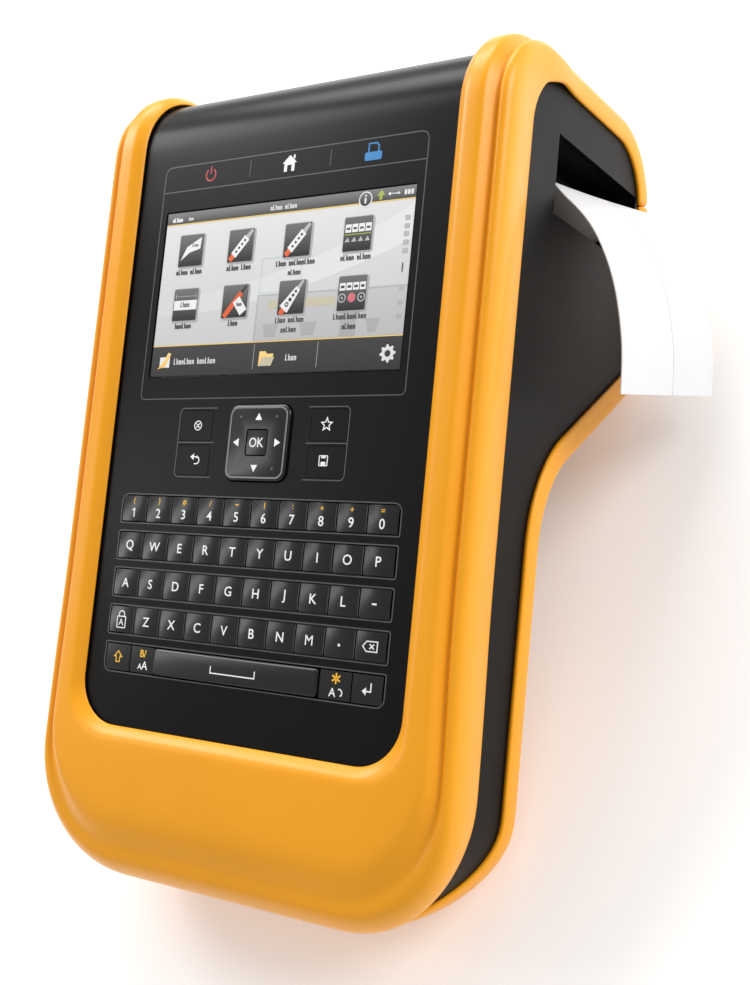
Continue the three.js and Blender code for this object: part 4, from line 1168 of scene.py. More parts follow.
def middle_of(name):
    """The x of a bottom key's middle."""
    return midpoint(BOTTOM_KEYS[name])


arrow = bmesh.new()
x = middle_of("shift_key")
stroke(arrow, [(x, y + 1.8), (x + 1.5, y + 0.2), (x + 0.7, y + 0.2), (x + 0.7, y - 1.4), (x - 0.7, y - 1.4),
               (x - 0.7, y + 0.2), (x - 1.5, y + 0.2)], 0.36, closed=True)
print_sheet("shift_arrow", arrow, INK["yellow"], "shift_key", on_plain_key)
x = middle_of("font_key") + 0.3
bold = bmesh.new()
letter(bold, "B/", (x, y + 1.9), 2.1, 0.06)
print_sheet("font_sign", bold, INK["yellow"], "font_key", on_plain_key)
sizes = bmesh.new()
letter(sizes, "A", (x - 1.0, y - 2.0), 1.7, 0.02)
letter(sizes, "A", (x + 0.9, y - 1.6), 2.5, 0.02)
print_sheet("font_letters", sizes, INK["white"], "font_key", on_plain_key)
x = middle_of("accent_key")
star = bmesh.new()
for turn in (0, 60, 120):
    a, b = arc_points((x + 0.2, y + 1.9), 1.5, 90 + turn, 270 + turn, 1)
    bar(star, a, b, 0.5)
print_sheet("accent_star", star, INK["yellow"], "accent_key", on_plain_key)
accents = bmesh.new()
letter(accents, "A", (x - 0.7, y - 1.9), 2.3, 0.02)
stroke(accents, arc_points((x + 1.5, y - 1.9), 1.0, 110, -60, 8), 0.35)
print_sheet("accent_letters", accents, INK["white"], "accent_key", on_plain_key)
x = middle_of("enter_key")
enter = bmesh.new()
stroke(enter, [(x + 1.2, y + 1.8), (x + 1.2, y - 0.5), (x - 0.5, y - 0.5)], 0.38)
polygon(enter, [(x - 1.6, y - 0.5), (x - 0.3, y + 0.6), (x - 0.3, y - 1.6)])
print_sheet("enter_arrow", enter, INK["white"], "enter_key", on_plain_key)
bracket = bmesh.new()
stroke(bracket, [(-8.2, y + 0.9), (-8.2, y - 1.1), (8.0, y - 1.1), (8.0, y + 0.9)], 0.34)
print_sheet("space_bracket", bracket, INK["white"], "space_bar", level(1.0))
space_rim = bmesh.new()
outline(space_rim, SPACE_BAR[0] + 0.42, bottom_y[0] + 0.15,
        SPACE_BAR[1] - 0.42, bottom_y[1] - 0.15, 0.9, 0.24)
print_sheet("space_rim", space_rim, INK["line"], "space_bar", level(0.28))

# %% Symbols on the pad and the keys beside it
arrows = bmesh.new()
for turn in range(4):
    ahead = Vector((math.cos(math.radians(90 * turn)), math.sin(math.radians(90 * turn))))
    side = Vector((-ahead.y, ahead.x))
    tip = Vector((0, NAV["y"])) + ahead * 8.7
    polygon(arrows, [tip, tip - ahead * 2.1 + side * 1.2, tip - ahead * 2.1 - side * 1.2])
print_sheet("pad_arrows", arrows, INK["white"], "nav_pad", level(1.1))
dots = bmesh.new()
for sx in (-1, 1):
    for sy in (-1, 1):
        disc(dots, (6.6 * sx, NAV["y"] + 7.6 * sy), 0.42)
        bar(dots, (4.5 * sx, NAV["y"] + 4.5 * sy), (6.0 * sx, NAV["y"] + 6.4 * sy), 0.12)
print_sheet("pad_dots", dots, INK["line"], "nav_pad", level(1.1))
rim = bmesh.new()
h = NAV["half"]
outline(rim, -h + 0.95, NAV["y"] - h + 0.95, h - 0.95, NAV["y"] + h - 0.95, 2.4, 0.5)
print_sheet("pad_rim", rim, INK["rim"], "nav_pad", level(1.09))
ok_word = bmesh.new()
letter(ok_word, "OK", (0, NAV["y"]), 2.7, 0.03, stretch=0.92)
ok_surface = pillow((-NAV["ok"], NAV["ok"]), (NAV["y"] - NAV["ok"], NAV["y"] + NAV["ok"]), OK_TOP, OK_CROWN)
print_sheet("ok_letters", ok_word, INK["white"], "ok_key", ok_surface)

cancel = bmesh.new()
cx, cy = -23.9, 29.7
stroke(cancel, arc_points((cx, cy), 1.35, 0, 360, 24)[:-1], 0.3, closed=True)
for way in (-1, 1):
    bar(cancel, (cx - 0.7, cy - 0.7 * way), (cx + 0.7, cy + 0.7 * way), 0.3)
print_sheet("cancel_symbol", cancel, INK["white"], "cancel_key", level(0.02))
back = bmesh.new()
cx, cy = -23.6, 19.5
curl = arc_points((cx + 0.5, cy - 0.35), 1.05, 90, -90, 8)
stroke(back, [(cx - 0.6, cy + 0.7), (cx + 0.5, cy + 0.7)] + curl + [(cx - 0.3, cy - 1.4)], 0.36)
polygon(back, [(cx - 2, cy + 0.7), (cx - 0.6, cy + 1.7), (cx - 0.6, cy - 0.3)])
print_sheet("back_symbol", back, INK["white"], "back_key", level(0.02))
favourite = bmesh.new()
cx, cy = 23.7, 29.9
STAR_RADII = (1.9, 0.85)
star_points = [arc_points((cx, cy), STAR_RADII[i % 2], 90 + 36 * i, 90 + 36 * i, 1)[0] for i in range(10)]
stroke(favourite, star_points, 0.32, closed=True)
print_sheet("favourite_symbol", favourite, INK["white"], "favourite_key", level(0.02))
save = bmesh.new()
cx, cy = 23.7, 19.6
outline(save, cx - 1.4, cy - 1.4, cx + 1.4, cy + 1.4, 0.2, 0.3)
plate(save, cx - 0.8, cy - 1.3, cx + 0.8, cy - 0.3)
bar(save, (cx - 0.7, cy + 0.95), (cx + 0.7, cy + 0.95), 0.5)
print_sheet("save_symbol", save, INK["white"], "save_key", level(0.02))

# %% [markdown]
# ## The screen
#
# A colour display lies right under a glass window. Its page is built like the printing: each colour is
# a very thin sheet, one above the other, and all of them carry a clear glossy coat, which stands for
# the glass. Words on the page are only suggested by rows of small strokes. The grey page and the dark
# bars need a gradient across the screen, so their materials turn the object's coordinates back into
# positions on the face.


# %% Materials that know their place on the face
to_device = DEVICE.inverted()


def face_position(tree):
    """The X and Y sockets of the position on the face, in millimetres."""
    coords = tree.nodes.new("ShaderNodeTexCoord")
    mapping = tree.nodes.new("ShaderNodeMapping")
    mapping.inputs["Location"].default_value = to_device.translation
    mapping.inputs["Rotation"].default_value = to_device.to_euler()
    mapping.inputs["Scale"].default_value = to_device.to_scale()
    split = tree.nodes.new("ShaderNodeSeparateXYZ")
    tree.links.new(coords.outputs["Object"], mapping.inputs["Vector"])
    tree.links.new(mapping.outputs["Vector"], split.inputs["Vector"])
    return split.outputs["X"], split.outputs["Y"]


def screen_colour(name, low, high, span, axis="Y", glow=0.12):
    """A colour of the page that runs from low to high over a span in millimetres, under the glass."""
    material = bpy.data.materials.new(name)
    material.use_nodes = True
    tree = material.node_tree
    shader = tree.nodes["Principled BSDF"]
    place = face_position(tree)[0 if axis == "X" else 1]
    share = tree.nodes.new("ShaderNodeMapRange")
    share.inputs["From Min"].default_value = span[0]
    share.inputs["From Max"].default_value = span[1]
    tree.links.new(place, share.inputs["Value"])
    ramp = tree.nodes.new("ShaderNodeValToRGB")
    ramp.color_ramp.elements[0].color = (*low, 1)
    ramp.color_ramp.elements[1].color = (*high, 1)
    tree.links.new(share.outputs["Result"], ramp.inputs["Fac"])
    tree.links.new(ramp.outputs["Color"], shader.inputs["Base Color"])
    tree.links.new(ramp.outputs["Color"], shader.inputs["Emission Color"])
    shader.inputs["Emission Strength"].default_value = glow
    shader.inputs["Roughness"].default_value = 0.5
    shader.inputs["Specular IOR Level"].default_value = 0.2
    shader.inputs["Coat Weight"].default_value = 1.0
    shader.inputs["Coat Roughness"].default_value = 0.05
    return material


def grey(value):
    return (value, value, value)


PAGE = {
    "page": screen_colour("page_grey", grey(0.56), grey(0.74), (54, 94)),
    "swoosh": screen_colour("page_light_band", grey(0.64), grey(0.78), (-46, 46), "X"),
    "ghost": screen_colour("page_ghost", grey(0.38), grey(0.46), (54, 70)),
    "pale": screen_colour("page_pale", grey(0.47), grey(0.55), (54, 70)),
    "sky": screen_colour("page_sky_line", (0.36, 0.56, 0.62), (0.42, 0.6, 0.64), (60, 80)),
    "title": screen_colour("title_bar", grey(0.03), grey(0.22), (93.4, 97.4), glow=0.15),
    "base": screen_colour("bottom_bar", grey(0.012), grey(0.03), (45, 54.6), glow=0.1),
    "rule": screen_colour("page_rule", (0.8, 0.55, 0.12), (0.85, 0.6, 0.16), (-46, 46), "X"),
    "tile_1": screen_colour("tile_upper", grey(0.006), grey(0.16), (80.5, 90.2), glow=0.05),
    "tile_2": screen_colour("tile_lower", grey(0.006), grey(0.16), (63.2, 73), glow=0.05),
    "shade": screen_colour("tile_shadow", grey(0.42), grey(0.46), (62, 90), glow=0.1),
    "text": screen_colour("page_text", grey(0.02), grey(0.03), (54, 94), glow=0.1),
    "text_light": screen_colour("bar_text", grey(0.6), grey(0.7), (45, 97), glow=0.3),
    "white": screen_colour("page_white", grey(0.74), grey(0.78), (45, 97), glow=0.2),
    "red": screen_colour("page_red", (0.7, 0.09, 0.015), (0.8, 0.13, 0.03), (54, 94)),
    "cream": screen_colour("page_cream", (0.55, 0.5, 0.36), (0.58, 0.53, 0.4), (54, 94)),
    "folder": screen_colour("page_folder", (0.85, 0.5, 0.1), (0.95, 0.68, 0.25), (47, 52)),
    "rose": screen_colour("page_rose", (0.6, 0.14, 0.17), (0.66, 0.17, 0.2), (60, 70)),
    "green": screen_colour("page_green", (0.35, 0.42, 0.06), (0.4, 0.46, 0.1), (90, 97)),
}
print("page colours:", len(PAGE))

# %% Screen page
LAYER = 0.02  # from one layer of the page to the next
PAGE_Z = -0.28
layers = {}


def sheet(colour, layer):
    """The flat shapes of one colour in one layer of the page."""
    return layers.setdefault((colour, layer), bmesh.new())


def words(bm, centre, widths, tall=1.9, slim=0.3):
    """A line of made-up words: for each letter an upright stroke and one or two cross strokes."""
    pitch = tall * 0.5
    x = centre[0] - (sum(widths) + len(widths) - 1) * pitch / 2
    for word in widths:
        for i in range(word):
            kind = (i * 5 + word * 3) % 4
            top = centre[1] + tall * (0.5 if kind < 2 else 0.25)
            bottom = centre[1] - tall * 0.4
            plate(bm, x, bottom, x + slim, top)
            if kind in (0, 2):
                plate(bm, x + slim, bottom, x + pitch * 0.62, bottom + slim)
            if kind in (1, 2, 3):
                plate(bm, x + slim, centre[1] + tall * 0.05, x + pitch * 0.62,
                      centre[1] + tall * 0.05 + slim)
            if kind != 0:
                plate(bm, x + pitch * 0.5, bottom, x + pitch * 0.5 + slim, centre[1] + tall * 0.15)
            x += pitch
        x += pitch


def turned(points, centre, angle):
    """The points turned by an angle in degrees and moved to a centre."""
    c, s = math.cos(math.radians(angle)), math.sin(math.radians(angle))
    return [(centre[0] + x * c - y * s, centre[1] + x * s + y * c) for x, y in points]


def slanted_bar(colour, layer, start, end, centre, angle):
    """A bar from start to end, each given as (place along it, half its width there), then turned."""
    (a, half_a), (b, half_b) = start, end
    corners = [(a, -half_a), (b, -half_b), (b, half_b), (a, half_a)]
    polygon(sheet(colour, layer), turned(corners, centre, angle))


bottom, top = SCREEN["bottom"] + 0.3, SCREEN["top"] - 0.1
plate(sheet("page", 0), -46, 54.6, 46, 93.6)
polygon(sheet("swoosh", 1), [(x, 70 + 0.0026 * (x + 46) ** 2) for x in range(-46, 47, 4)]
        + [(x, 64 + 0.0021 * (x + 46) ** 2) for x in range(46, -47, -4)])
plate(sheet("ghost", 2), -6.5, 55, 46, 69)
plate(sheet("pale", 3), -5.9, 55, 24.5, 68.4)
plate(sheet("pale", 3), 30, 55, 46, 68.4)
for x0, x1 in ((-3.5, 2.5), (10, 16.5), (33, 38)):
    polygon(sheet("ghost", 4), [(x0, 60), (x1, 60), (x1 - 1, 57), (x1 - 1, 56), (x0 + 1, 56), (x0 + 1, 57)])
plate(sheet("cream", 4), -2, 64.5, 22, 67)
outline(sheet("sky", 2), -6, 69.5, 9, 80, 0, 0.15)
plate(sheet("title", 1), -46, 93.6, 46, top)
plate(sheet("rule", 2), -46, 93.3, 46, 93.65)
plate(sheet("base", 1), -46, bottom, 46, 54.6)
plate(sheet("rule", 2), -46, 54.55, 46, 54.85)
for x in (-5.6, 17.6):
    plate(sheet("shade", 3), x - 0.08, 46.5, x + 0.08, 54)

COLUMNS, TILE = (-34.7, -14.9, 6.4, 27.7), (5.0, 5.2)
UPPER, LOWER = 84.7, 67.5  # y of the two rows of tiles
STEP = 2.3  # between the sockets of a strip
for y, colour in ((UPPER, "tile_1"), (LOWER, "tile_2")):
    for x in COLUMNS:
        left, low, right, high = x - TILE[0], y - TILE[1], x + TILE[0], y + TILE[1]
        plate(sheet("shade", 5), left + 0.25, low - 0.35, right + 0.4, high - 0.2, 0.8)
        plate(sheet(colour, 6), left, low, right, high, 0.6)
        outline(sheet("shade", 7), left + 0.1, low + 0.1, right - 0.1, high - 0.1, 0.5, 0.18)

# Row one: a label sheet, two sticks with a red end, and a socket strip.
x, y = COLUMNS[0], UPPER
polygon(sheet("white", 7), [(x - 4, y - 3), (x - 1.8, y + 1.2), (x + 3.8, y + 4),
                            (x + 3.6, y + 0.4), (x - 0.5, y - 0.6)])
words(sheet("text", 8), (x + 1.6, y + 1.6), [4], 1.3, 0.18)
for index in (1, 2):
    x = COLUMNS[index]
    slanted_bar("red", 7, (-5.9, 0.8), (-3.9, 0.9), (x, y), 48)
    slanted_bar("white", 7, (-3.9, 1.2), (3.2, 1.2), (x, y), 48)
    slanted_bar("ghost", 7, (3.2, 0.8), (6.2, 0.5), (x, y), 48)
    for step in range(4):
        spot = turned([(-2.4 + 1.5 * step, 0)], (x, y), 48)[0]
        disc(sheet("text", 8), spot, 0.42, 8)
x = COLUMNS[3]
for step in range(4):
    plate(sheet("white", 7), x - 4.4 + STEP * step, y + 0.6, x - 2.4 + STEP * step, y + 3, 0.1)
    plate(sheet("text", 8), x - 4 + STEP * step, y + 1.4, x - 2.8 + STEP * step, y + 2)
    polygon(sheet("ghost", 7), [(x - 4.4 + STEP * step, y - 2.2), (x - 3.4 + STEP * step, y - 0.8),
                                (x - 2.6 + STEP * step, y - 2.2)])
plate(sheet("green", 7), x - 4.5, y - 0.2, x + 4.5, y + 0.1)

# Row two: a sized label, a flag, a tapered sleeve and a panel.
x, y = COLUMNS[0], LOWER
plate(sheet("white", 7), x - 4.6, y - 1.6, x + 4.6, y + 1.4)
words(sheet("text", 8), (x, y), [4], 1.9, 0.3)
plate(sheet("ghost", 7), x - 4, y + 2.6, x + 4, y + 2.75)
for side in (-1, 1):
    plate(sheet("ghost", 7), x + 4 * side - 0.1, y + 1.9, x + 4 * side + 0.1, y + 3.5)
x = COLUMNS[1]
slanted_bar("red", 7, (-6, 0.85), (3.4, 0.85), (x, y), 50)
slanted_bar("text", 7, (3.4, 0.6), (6, 0.4), (x, y), 50)
slanted_bar("white", 8, (-1.9, 1.5), (3.2, 1.5), (x + 1.6, y - 1), -52)
words(sheet("text", 9), (x + 1.8, y - 1), [3], 1.4, 0.25)
x = COLUMNS[2]
slanted_bar("red", 7, (-6.2, 0.8), (-4.4, 1), (x, y), 52)
slanted_bar("white", 7, (-4.4, 1.8), (3.4, 0.9), (x, y), 52)
slanted_bar("ghost", 7, (3.4, 0.6), (6.2, 0.4), (x, y), 52)
for along, size in ((-2.6, 0.75), (-0.8, 0.6), (0.8, 0.5), (2.2, 0.45)):
    disc(sheet("text", 8), turned([(along, 0)], (x, y), 52)[0], size, 10)
disc(sheet("white", 9), turned([(-2.6, 0)], (x, y), 52)[0], 0.35, 10)
x = COLUMNS[3]
for step in range(4):
    plate(sheet("white", 7), x - 4.4 + STEP * step, y + 0.9, x - 2.4 + STEP * step, y + 3.1, 0.1)
    plate(sheet("text", 8), x - 4 + STEP * step, y + 1.6, x - 2.8 + STEP * step, y + 2.3)
for step, colour in enumerate(("ghost", "rose", "ghost")):
    disc(sheet(colour, 8), (x - 3.3 + 3.3 * step, y - 1.3), 1.35, 16)
    disc(sheet("text" if colour == "ghost" else "rose", 9), (x - 3.3 + 3.3 * step, y - 1.3), 0.95, 16)
    disc(sheet(colour, 10), (x - 3.3 + 3.3 * step, y - 1.3), 0.4, 10)

CAPTIONS = [  # x, y and the letters in each word
    (-34.7, 77.9, [5, 5]), (-14.9, 77.9, [5, 4]), (6.4, 77.9, [4, 10]), (6.4, 75.0, [5]),
    (27.7, 77.9, [5, 5]), (-34.7, 60.8, [7]), (-14.9, 60.8, [4]), (6.4, 60.8, [4, 6]),
    (6.4, 57.9, [6]), (27.7, 60.8, [12]), (27.7, 57.9, [5]),
]
for x, y, widths in CAPTIONS:
    words(sheet("text", 5), (x, y), widths)
words(sheet("text_light", 3), (0, 95.3), [5, 5], 1.8, 0.26)
words(sheet("text_light", 3), (-41.7, 95), [5], 1.7, 0.36)
words(sheet("text_light", 3), (-36.2, 95), [3], 1.3, 0.2)
words(sheet("text_light", 3), (-28.4, 49.6), [8, 7], 2.1, 0.3)
words(sheet("text_light", 3), (8.4, 49.6), [4], 2.1, 0.3)
disc(sheet("white", 4), (29.2, 94.6), 2.3)
disc(sheet("title", 5), (29.2, 94.6), 1.95)
plate(sheet("white", 6), 28.9, 93.4, 29.5, 95)
plate(sheet("white", 6), 28.9, 95.4, 29.5, 95.9)
polygon(sheet("green", 4), [(33, 95.2), (34.4, 96.9), (35.8, 95.2), (34.9, 95.2), (34.9, 94),
                            (33.9, 94), (33.9, 95.2)])
bar(sheet("text_light", 4), (37.2, 95.4), (40.2, 95.4), 0.25)
disc(sheet("text_light", 4), (37.3, 95.4), 0.45, 10)
polygon(sheet("text_light", 4), [(40.9, 95.4), (40, 95.9), (40, 94.9)])
for step in range(3):
    plate(sheet("text_light", 4), 42.2 + 1.1 * step, 94.7, 43 + 1.1 * step, 96.1)
for y in (88, 85.6, 83.4, 81, 78.6, 68, 64, 60):
    plate(sheet("ghost", 4), 43.2, y - 0.7, 44.9, y + 0.7, 0.2)
plate(sheet("text", 5), 43.6, 72.6, 43.9, 75.2)
plate(sheet("white", 3), -42.6, 47.9, -38.6, 51.2)
polygon(sheet("folder", 4), [(-43.4, 47.5), (-40.2, 48.1), (-38.2, 52.2), (-39.4, 52.6), (-41.6, 49.2)])
polygon(sheet("folder", 3), [(-3.6, 47.4), (1.2, 47.4), (1.8, 51), (-0.6, 51), (-1.2, 51.8), (-3.4, 51.8)])
polygon(sheet("cream", 4), [(-3.4, 47.4), (1.2, 47.4), (2.2, 50), (-2.2, 50)])
gear = [arc_points((41.6, 49.7), 2.6 if i % 4 < 2 else 1.95, 11.25 * i, 11.25 * i, 1)[0] for i in range(32)]
polygon(sheet("text_light", 3), gear)
disc(sheet("base", 4), (41.6, 49.7), 0.95, 16)

glass = bmesh.new()
rounded_block(glass, (-SCREEN["x"], SCREEN["x"]), (SCREEN["bottom"], SCREEN["top"]),
              (-SCREEN["thick"], -0.32), 0.6)
finish_piece("screen_window", glass, FINISH["key"], "housing", ["touch_lens"], rounding=0.1)
for (colour, layer), shapes in sorted(layers.items()):
    print_sheet(f"page_{colour}_{layer}", shapes, PAGE[colour], "housing",
                level(PAGE_Z + LAYER * layer), thick=LAYER * 0.6)

# %% [markdown]
# ## The label
#
# A backing strip with two label strips on it, and a hairline gap between them. It comes out level,
# rises over the edge of the exit and hangs down; beyond the exit it leans a little, so its far edge is
# further out and higher. The strip is lofted along a smooth curve.

# %% Label
LABEL_PATH = [(32, 106), (44, 106), (53, 106.4), (61, 110), (68.5, 113.2), (76, 108.6),
              (85, 98.4), (92, 83.5), (96, 66), (97, 50.5)]
LABEL = {"width": 54.0, "middle_z": -67.4, "gap_at": 0.54,
         "lean_x": 3.4, "lean_y": 5.0, "from": 56.0, "to": 76.0}
LABEL_THICK = 0.14


def curve_point(points, place):
    """A point of a smooth curve through all the points; place runs from 0 to 1."""
    along = place * (len(points) - 1)
    i = min(int(along), len(points) - 2)
    t = along - i
    p = [Vector(points[min(max(i + k, 0), len(points) - 1)]) for k in (-1, 0, 1, 2)]
    slope_0, slope_1 = (p[2] - p[0]) / 2, (p[3] - p[1]) / 2
    cubic = 2 * p[1] - 2 * p[2] + slope_0 + slope_1
    square = 3 * p[2] - 3 * p[1] - 2 * slope_0 - slope_1
    return cubic * t**3 + square * t**2 + slope_0 * t + p[1]


LABEL_STEPS = 72


def label_sheet(name, material, span, low, high, stands_for=()):
    """A strip of the label; span is its share of the width, from the near edge."""
    rings = []
    for step in range(LABEL_STEPS + 1):
        place = step / LABEL_STEPS
        centre = curve_point(LABEL_PATH, place)
        behind, beyond = max(place - 0.004, 0), min(place + 0.004, 1)
        ahead = curve_point(LABEL_PATH, beyond) - curve_point(LABEL_PATH, behind)
        up = Vector((-ahead.y, ahead.x)).normalized()
        ring = []
        for lift, shares in ((low, (0, 0.25, 0.5, 0.75, 1)), (high, (1, 0.75, 0.5, 0.25, 0))):
            for share in shares:
                across = 0.5 - (span[0] + (span[1] - span[0]) * share)
                point = centre + up * lift
                lean = smoothstep(LABEL["from"], LABEL["to"], point.x)
                ring.append(Vector((point.x - LABEL["lean_x"] * 2 * across * lean,
                                    point.y - LABEL["lean_y"] * 2 * across * lean,
                                    LABEL["middle_z"] + across * LABEL["width"])))
        rings.append(ring)
    strip = bmesh.new()
    loft(strip, rings, cap_start=True, cap_end=True)
    return finish_piece(name, strip, material, "housing", stands_for, sharp=50, merge=0.0005)


label_sheet("label_backing", ink("backing_paper", (0.6, 0.6, 0.59), roughness=0.5), (0, 1), -0.2, 0.0,
            stands_for=["label_strip"])
label_face = ink("label_face", (0.76, 0.76, 0.765), roughness=0.42)
HALF_GAP = 0.0025  # a share of the width
label_sheet("label_near", label_face, (0.0, LABEL["gap_at"] - HALF_GAP), 0.0, LABEL_THICK)
label_sheet("label_far", label_face, (LABEL["gap_at"] + HALF_GAP, 1.0), 0.0, LABEL_THICK)

# %% [markdown]
# ## The cassette door
#
# The yellow band goes on over the door, which closes the back of the head. One section across the door
# (panel, groove, band and flange) is pulled from its foot to the seam on the back's rounded edge; the
# shallow field and the finger notch for the latch are cut into it.

# %% Cassette door
DOOR = {"bottom": 66.3, "top": 121.2}
DOOR_SECTION = [(0, -0.9), (25, -0.9), (50, -0.9), (56.6, -0.9), (57.4, -1.3), (58, -1.9), (59, -1.6)] + [
    (FACE["x"] + w, h) for w, h in BAND_SECTION[3:21]
] + [(69.4, -8.6), (69, -6), (67.5, -3.6), (60, -3.2), (40, -3.2), (0, -3.2)]
flat_end = TOP["y"] - TOP["back_roll"]
rings = []
flat_part = [DOOR["bottom"] + (flat_end - DOOR["bottom"]) * i / 8 for i in range(9)]
for y in flat_part + [118.2, 119.4, 120.4, DOOR["top"]]:
    angle = math.asin(max(y - flat_end, 0) / TOP["back_roll"])
    z = TOP["back_z"] + TOP["back_roll"] * (1 - math.cos(angle))
    out = Vector((0, math.sin(angle), -math.cos(angle)))
    rings.append([Vector((x, y, z)) + out * h for x, h in DOOR_SECTION])
door = bmesh.new()
loft(door, rings, cap_start=True, cap_end=True)
inner_faces = [f for f in door.faces if all(abs(v.co.x) < 1e-6 for v in f.verts)]
bmesh.ops.delete(door, geom=inner_faces, context="FACES_ONLY")
mirror_x(door)
cuts = bmesh.new()  # the shallow field, and the finger notch for the latch
rounded_block(cuts, (-48, 48), (79, 107), (-110, -104.4), 5, segments=6)
rounded_block(cuts, (-13, 13), (111, 130), (-110, -102.5), 2)
finish_piece("cassette_door_shell", door, FINISH["yellow"], "cassette_door",
             ["cassette_door"], holes=cuts, rounding=0.2)
door_back = bmesh.new()
rounded_block(door_back, (-14.5, 14.5), (109.5, 121), (-102.6, -101), 1.5)
rounded_block(door_back, (-62.3, 62.3), (68.6, 74), (-105.6, -101.4), 0.4)
for x in (-40, -20, 0, 20, 40):
    rounded_block(door_back, (x - 0.6, x + 0.6), (76, 106), (-103.2, -101.2), 0.2)
finish_piece("cassette_door_ribs", door_back, FINISH["yellow"], "cassette_door",
             rounding=0.2)

# %% [markdown]
# ## The back, and everything inside
#
# The covers, latches, feet, screws and the whole printing mechanism keep their CAD shape. A moulded or
# machined part never has a knife edge, so each of them is copied, its doubled corners are merged, and
# its edges are rounded by a bevel that only takes the sharp ones.

# %% Rounded copies of the CAD nodes
COPIES = {
    # node: (finish, slot, rounding in millimetres)
    "top_cover": ("side", "matt_black", 0.4), "slope_cover": ("side", "matt_black", 0.4),
    "battery_door": ("side", "matt_black", 0.4), "battery_latch": ("black", "matt_black", 0.25),
    "door_latch": ("black", "matt_black", 0.3), "lcd_module": ("display", "display_metal", 0.3),
    "nav_actuator": ("rubber", "soft_rubber", 0.2),
    "keypad_membrane": ("rubber", "soft_rubber", 0.15),
    "head_foot_left": ("rubber", "soft_rubber", 0.5),
    "head_foot_right": ("rubber", "soft_rubber", 0.5),
    "grip_foot_left": ("rubber", "soft_rubber", 0.5),
    "grip_foot_right": ("rubber", "soft_rubber", 0.5),
    "platen_roller": ("rubber", "soft_rubber", 0.3), "main_board": ("board", "circuit_board", 0.08),
    "mechanism_frame": ("steel", "steel", 0.15), "platen_shaft": ("steel", "steel", 0.15),
    "motor_pinion": ("steel", "steel", 0.06), "fixed_blade": ("steel", "steel", 0.08),
    "cutter_blade": ("steel", "steel", 0.08), "door_hinge_pin": ("steel", "steel", 0.2),
    "usb_port": ("steel", "steel", 0.1), "feed_motor": ("steel", "steel", 0.3),
    "case_screw_1": ("steel", "steel", 0.15), "case_screw_2": ("steel", "steel", 0.15),
    "case_screw_3": ("steel", "steel", 0.15), "case_screw_4": ("steel", "steel", 0.15),
    "platen_gear": ("white", "white_gear", 0.1), "idler_gear": ("white", "white_gear", 0.1),
    "ribbon_spindle": ("white", "white_gear", 0.1), "print_head": ("ceramic", "ceramic_head", 0.1),
    "heat_sink": ("aluminium", "aluminium_sink", 0.15),
    "cassette_case": ("black", "cassette_plastic", 0.3),
    "battery_pack": ("black", "cassette_plastic", 0.6),
    "power_jack": ("black", "cassette_plastic", 0.15),
    "ribbon_supply_spool": ("ribbon", "ink_ribbon", 0.2),
    "ribbon_takeup_spool": ("ribbon", "ink_ribbon", 0.2), "tape_spool": ("white", "tape_roll", 0.2),
}


SHARP = math.radians(38)  # edges that turn by more than this are rounded


def rounded_copy(node_name, finish, width):
    """Stands in for a CAD node: the same solid with its doubled corners merged and its edges rounded."""
    node = frame["nodes"][node_name]
    copy = bmesh.new()
    copy.from_mesh(node.data)
    copy.transform(node.matrix_world)
    bmesh.ops.remove_doubles(copy, verts=copy.verts, dist=1e-6)
    bmesh.ops.dissolve_limit(copy, angle_limit=math.radians(1), verts=copy.verts, edges=copy.edges)
    mesh = bpy.data.meshes.new(node_name + "_moulded")
    copy.to_mesh(mesh)
    copy.free()
    mesh.materials.clear()
    mesh.materials.append(FINISH[finish])
    obj = bpy.data.objects.new(node_name + "_moulded", mesh)
    bpy.context.scene.collection.objects.link(obj)
    mesh.polygons.foreach_set("use_smooth", [True] * len(mesh.polygons))
    mesh.set_sharp_from_angle(angle=SHARP)
    soft = obj.modifiers.new("soft edges", "BEVEL")
    soft.width = width * MM
    soft.segments = 2
    soft.limit_method = "ANGLE"
    soft.angle_limit = SHARP
    soft.harden_normals = True
    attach(obj, body_of(node)[0])
    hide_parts(node_name)
    return obj


for node_name, (finish, slot, width) in COPIES.items():
    rounded_copy(node_name, finish, width)
print("rounded copies:", len(COPIES))

# %% [markdown]
# ## Small parts that the CAD model leaves out
#
# The finest pieces are made here: grip ridges on the battery door, the chips and connectors on the main
# board, the windings seen on the tape spool, and the cell labels on the battery pack. The CAD model has
# as many nodes as it may hold.

# %% Grip ridges, board parts, spool edges and cell wrap
def tube(bm, a, b, radius, sides, inner=0.0):
    """A round bar from a to b; with an inner radius it is a ring with a hole."""
    a, b = Vector(a), Vector(b)
    turn = (b - a).to_track_quat("Z", "Y").to_matrix().to_4x4()
    if not inner:
        bmesh.ops.create_cone(bm, cap_ends=True, segments=sides, radius1=radius, radius2=radius,
                              depth=(b - a).length, matrix=Matrix.Translation((a + b) / 2) @ turn)
        return
    spots = []
    for r, end in ((inner, 0), (radius, 0), (radius, 1), (inner, 1)):
        centre = a if end == 0 else b
        spots.append([bm.verts.new(centre + turn @ Vector((x, y, 0)))
                      for x, y in arc_points((0, 0), r, 0, 360, sides)[:-1]])
    for ring, following in zip(spots, spots[1:] + spots[:1]):
        for i in range(sides):
            j = (i + 1) % sides
            bm.faces.new((ring[i], ring[j], following[j], following[i]))


ridges = bmesh.new()
for step in range(8):
    y = -63 + 6 * step
    reach = 22 - 0.9 * abs(step - 3.5) ** 1.4
    rounded_block(ridges, (-reach, reach), (y - 1, y + 1), (-45.3, -44.3), 0.95, segments=6)
finish_piece("battery_door_ridges", ridges, FINISH["side"], "battery_door", rounding=0.35)

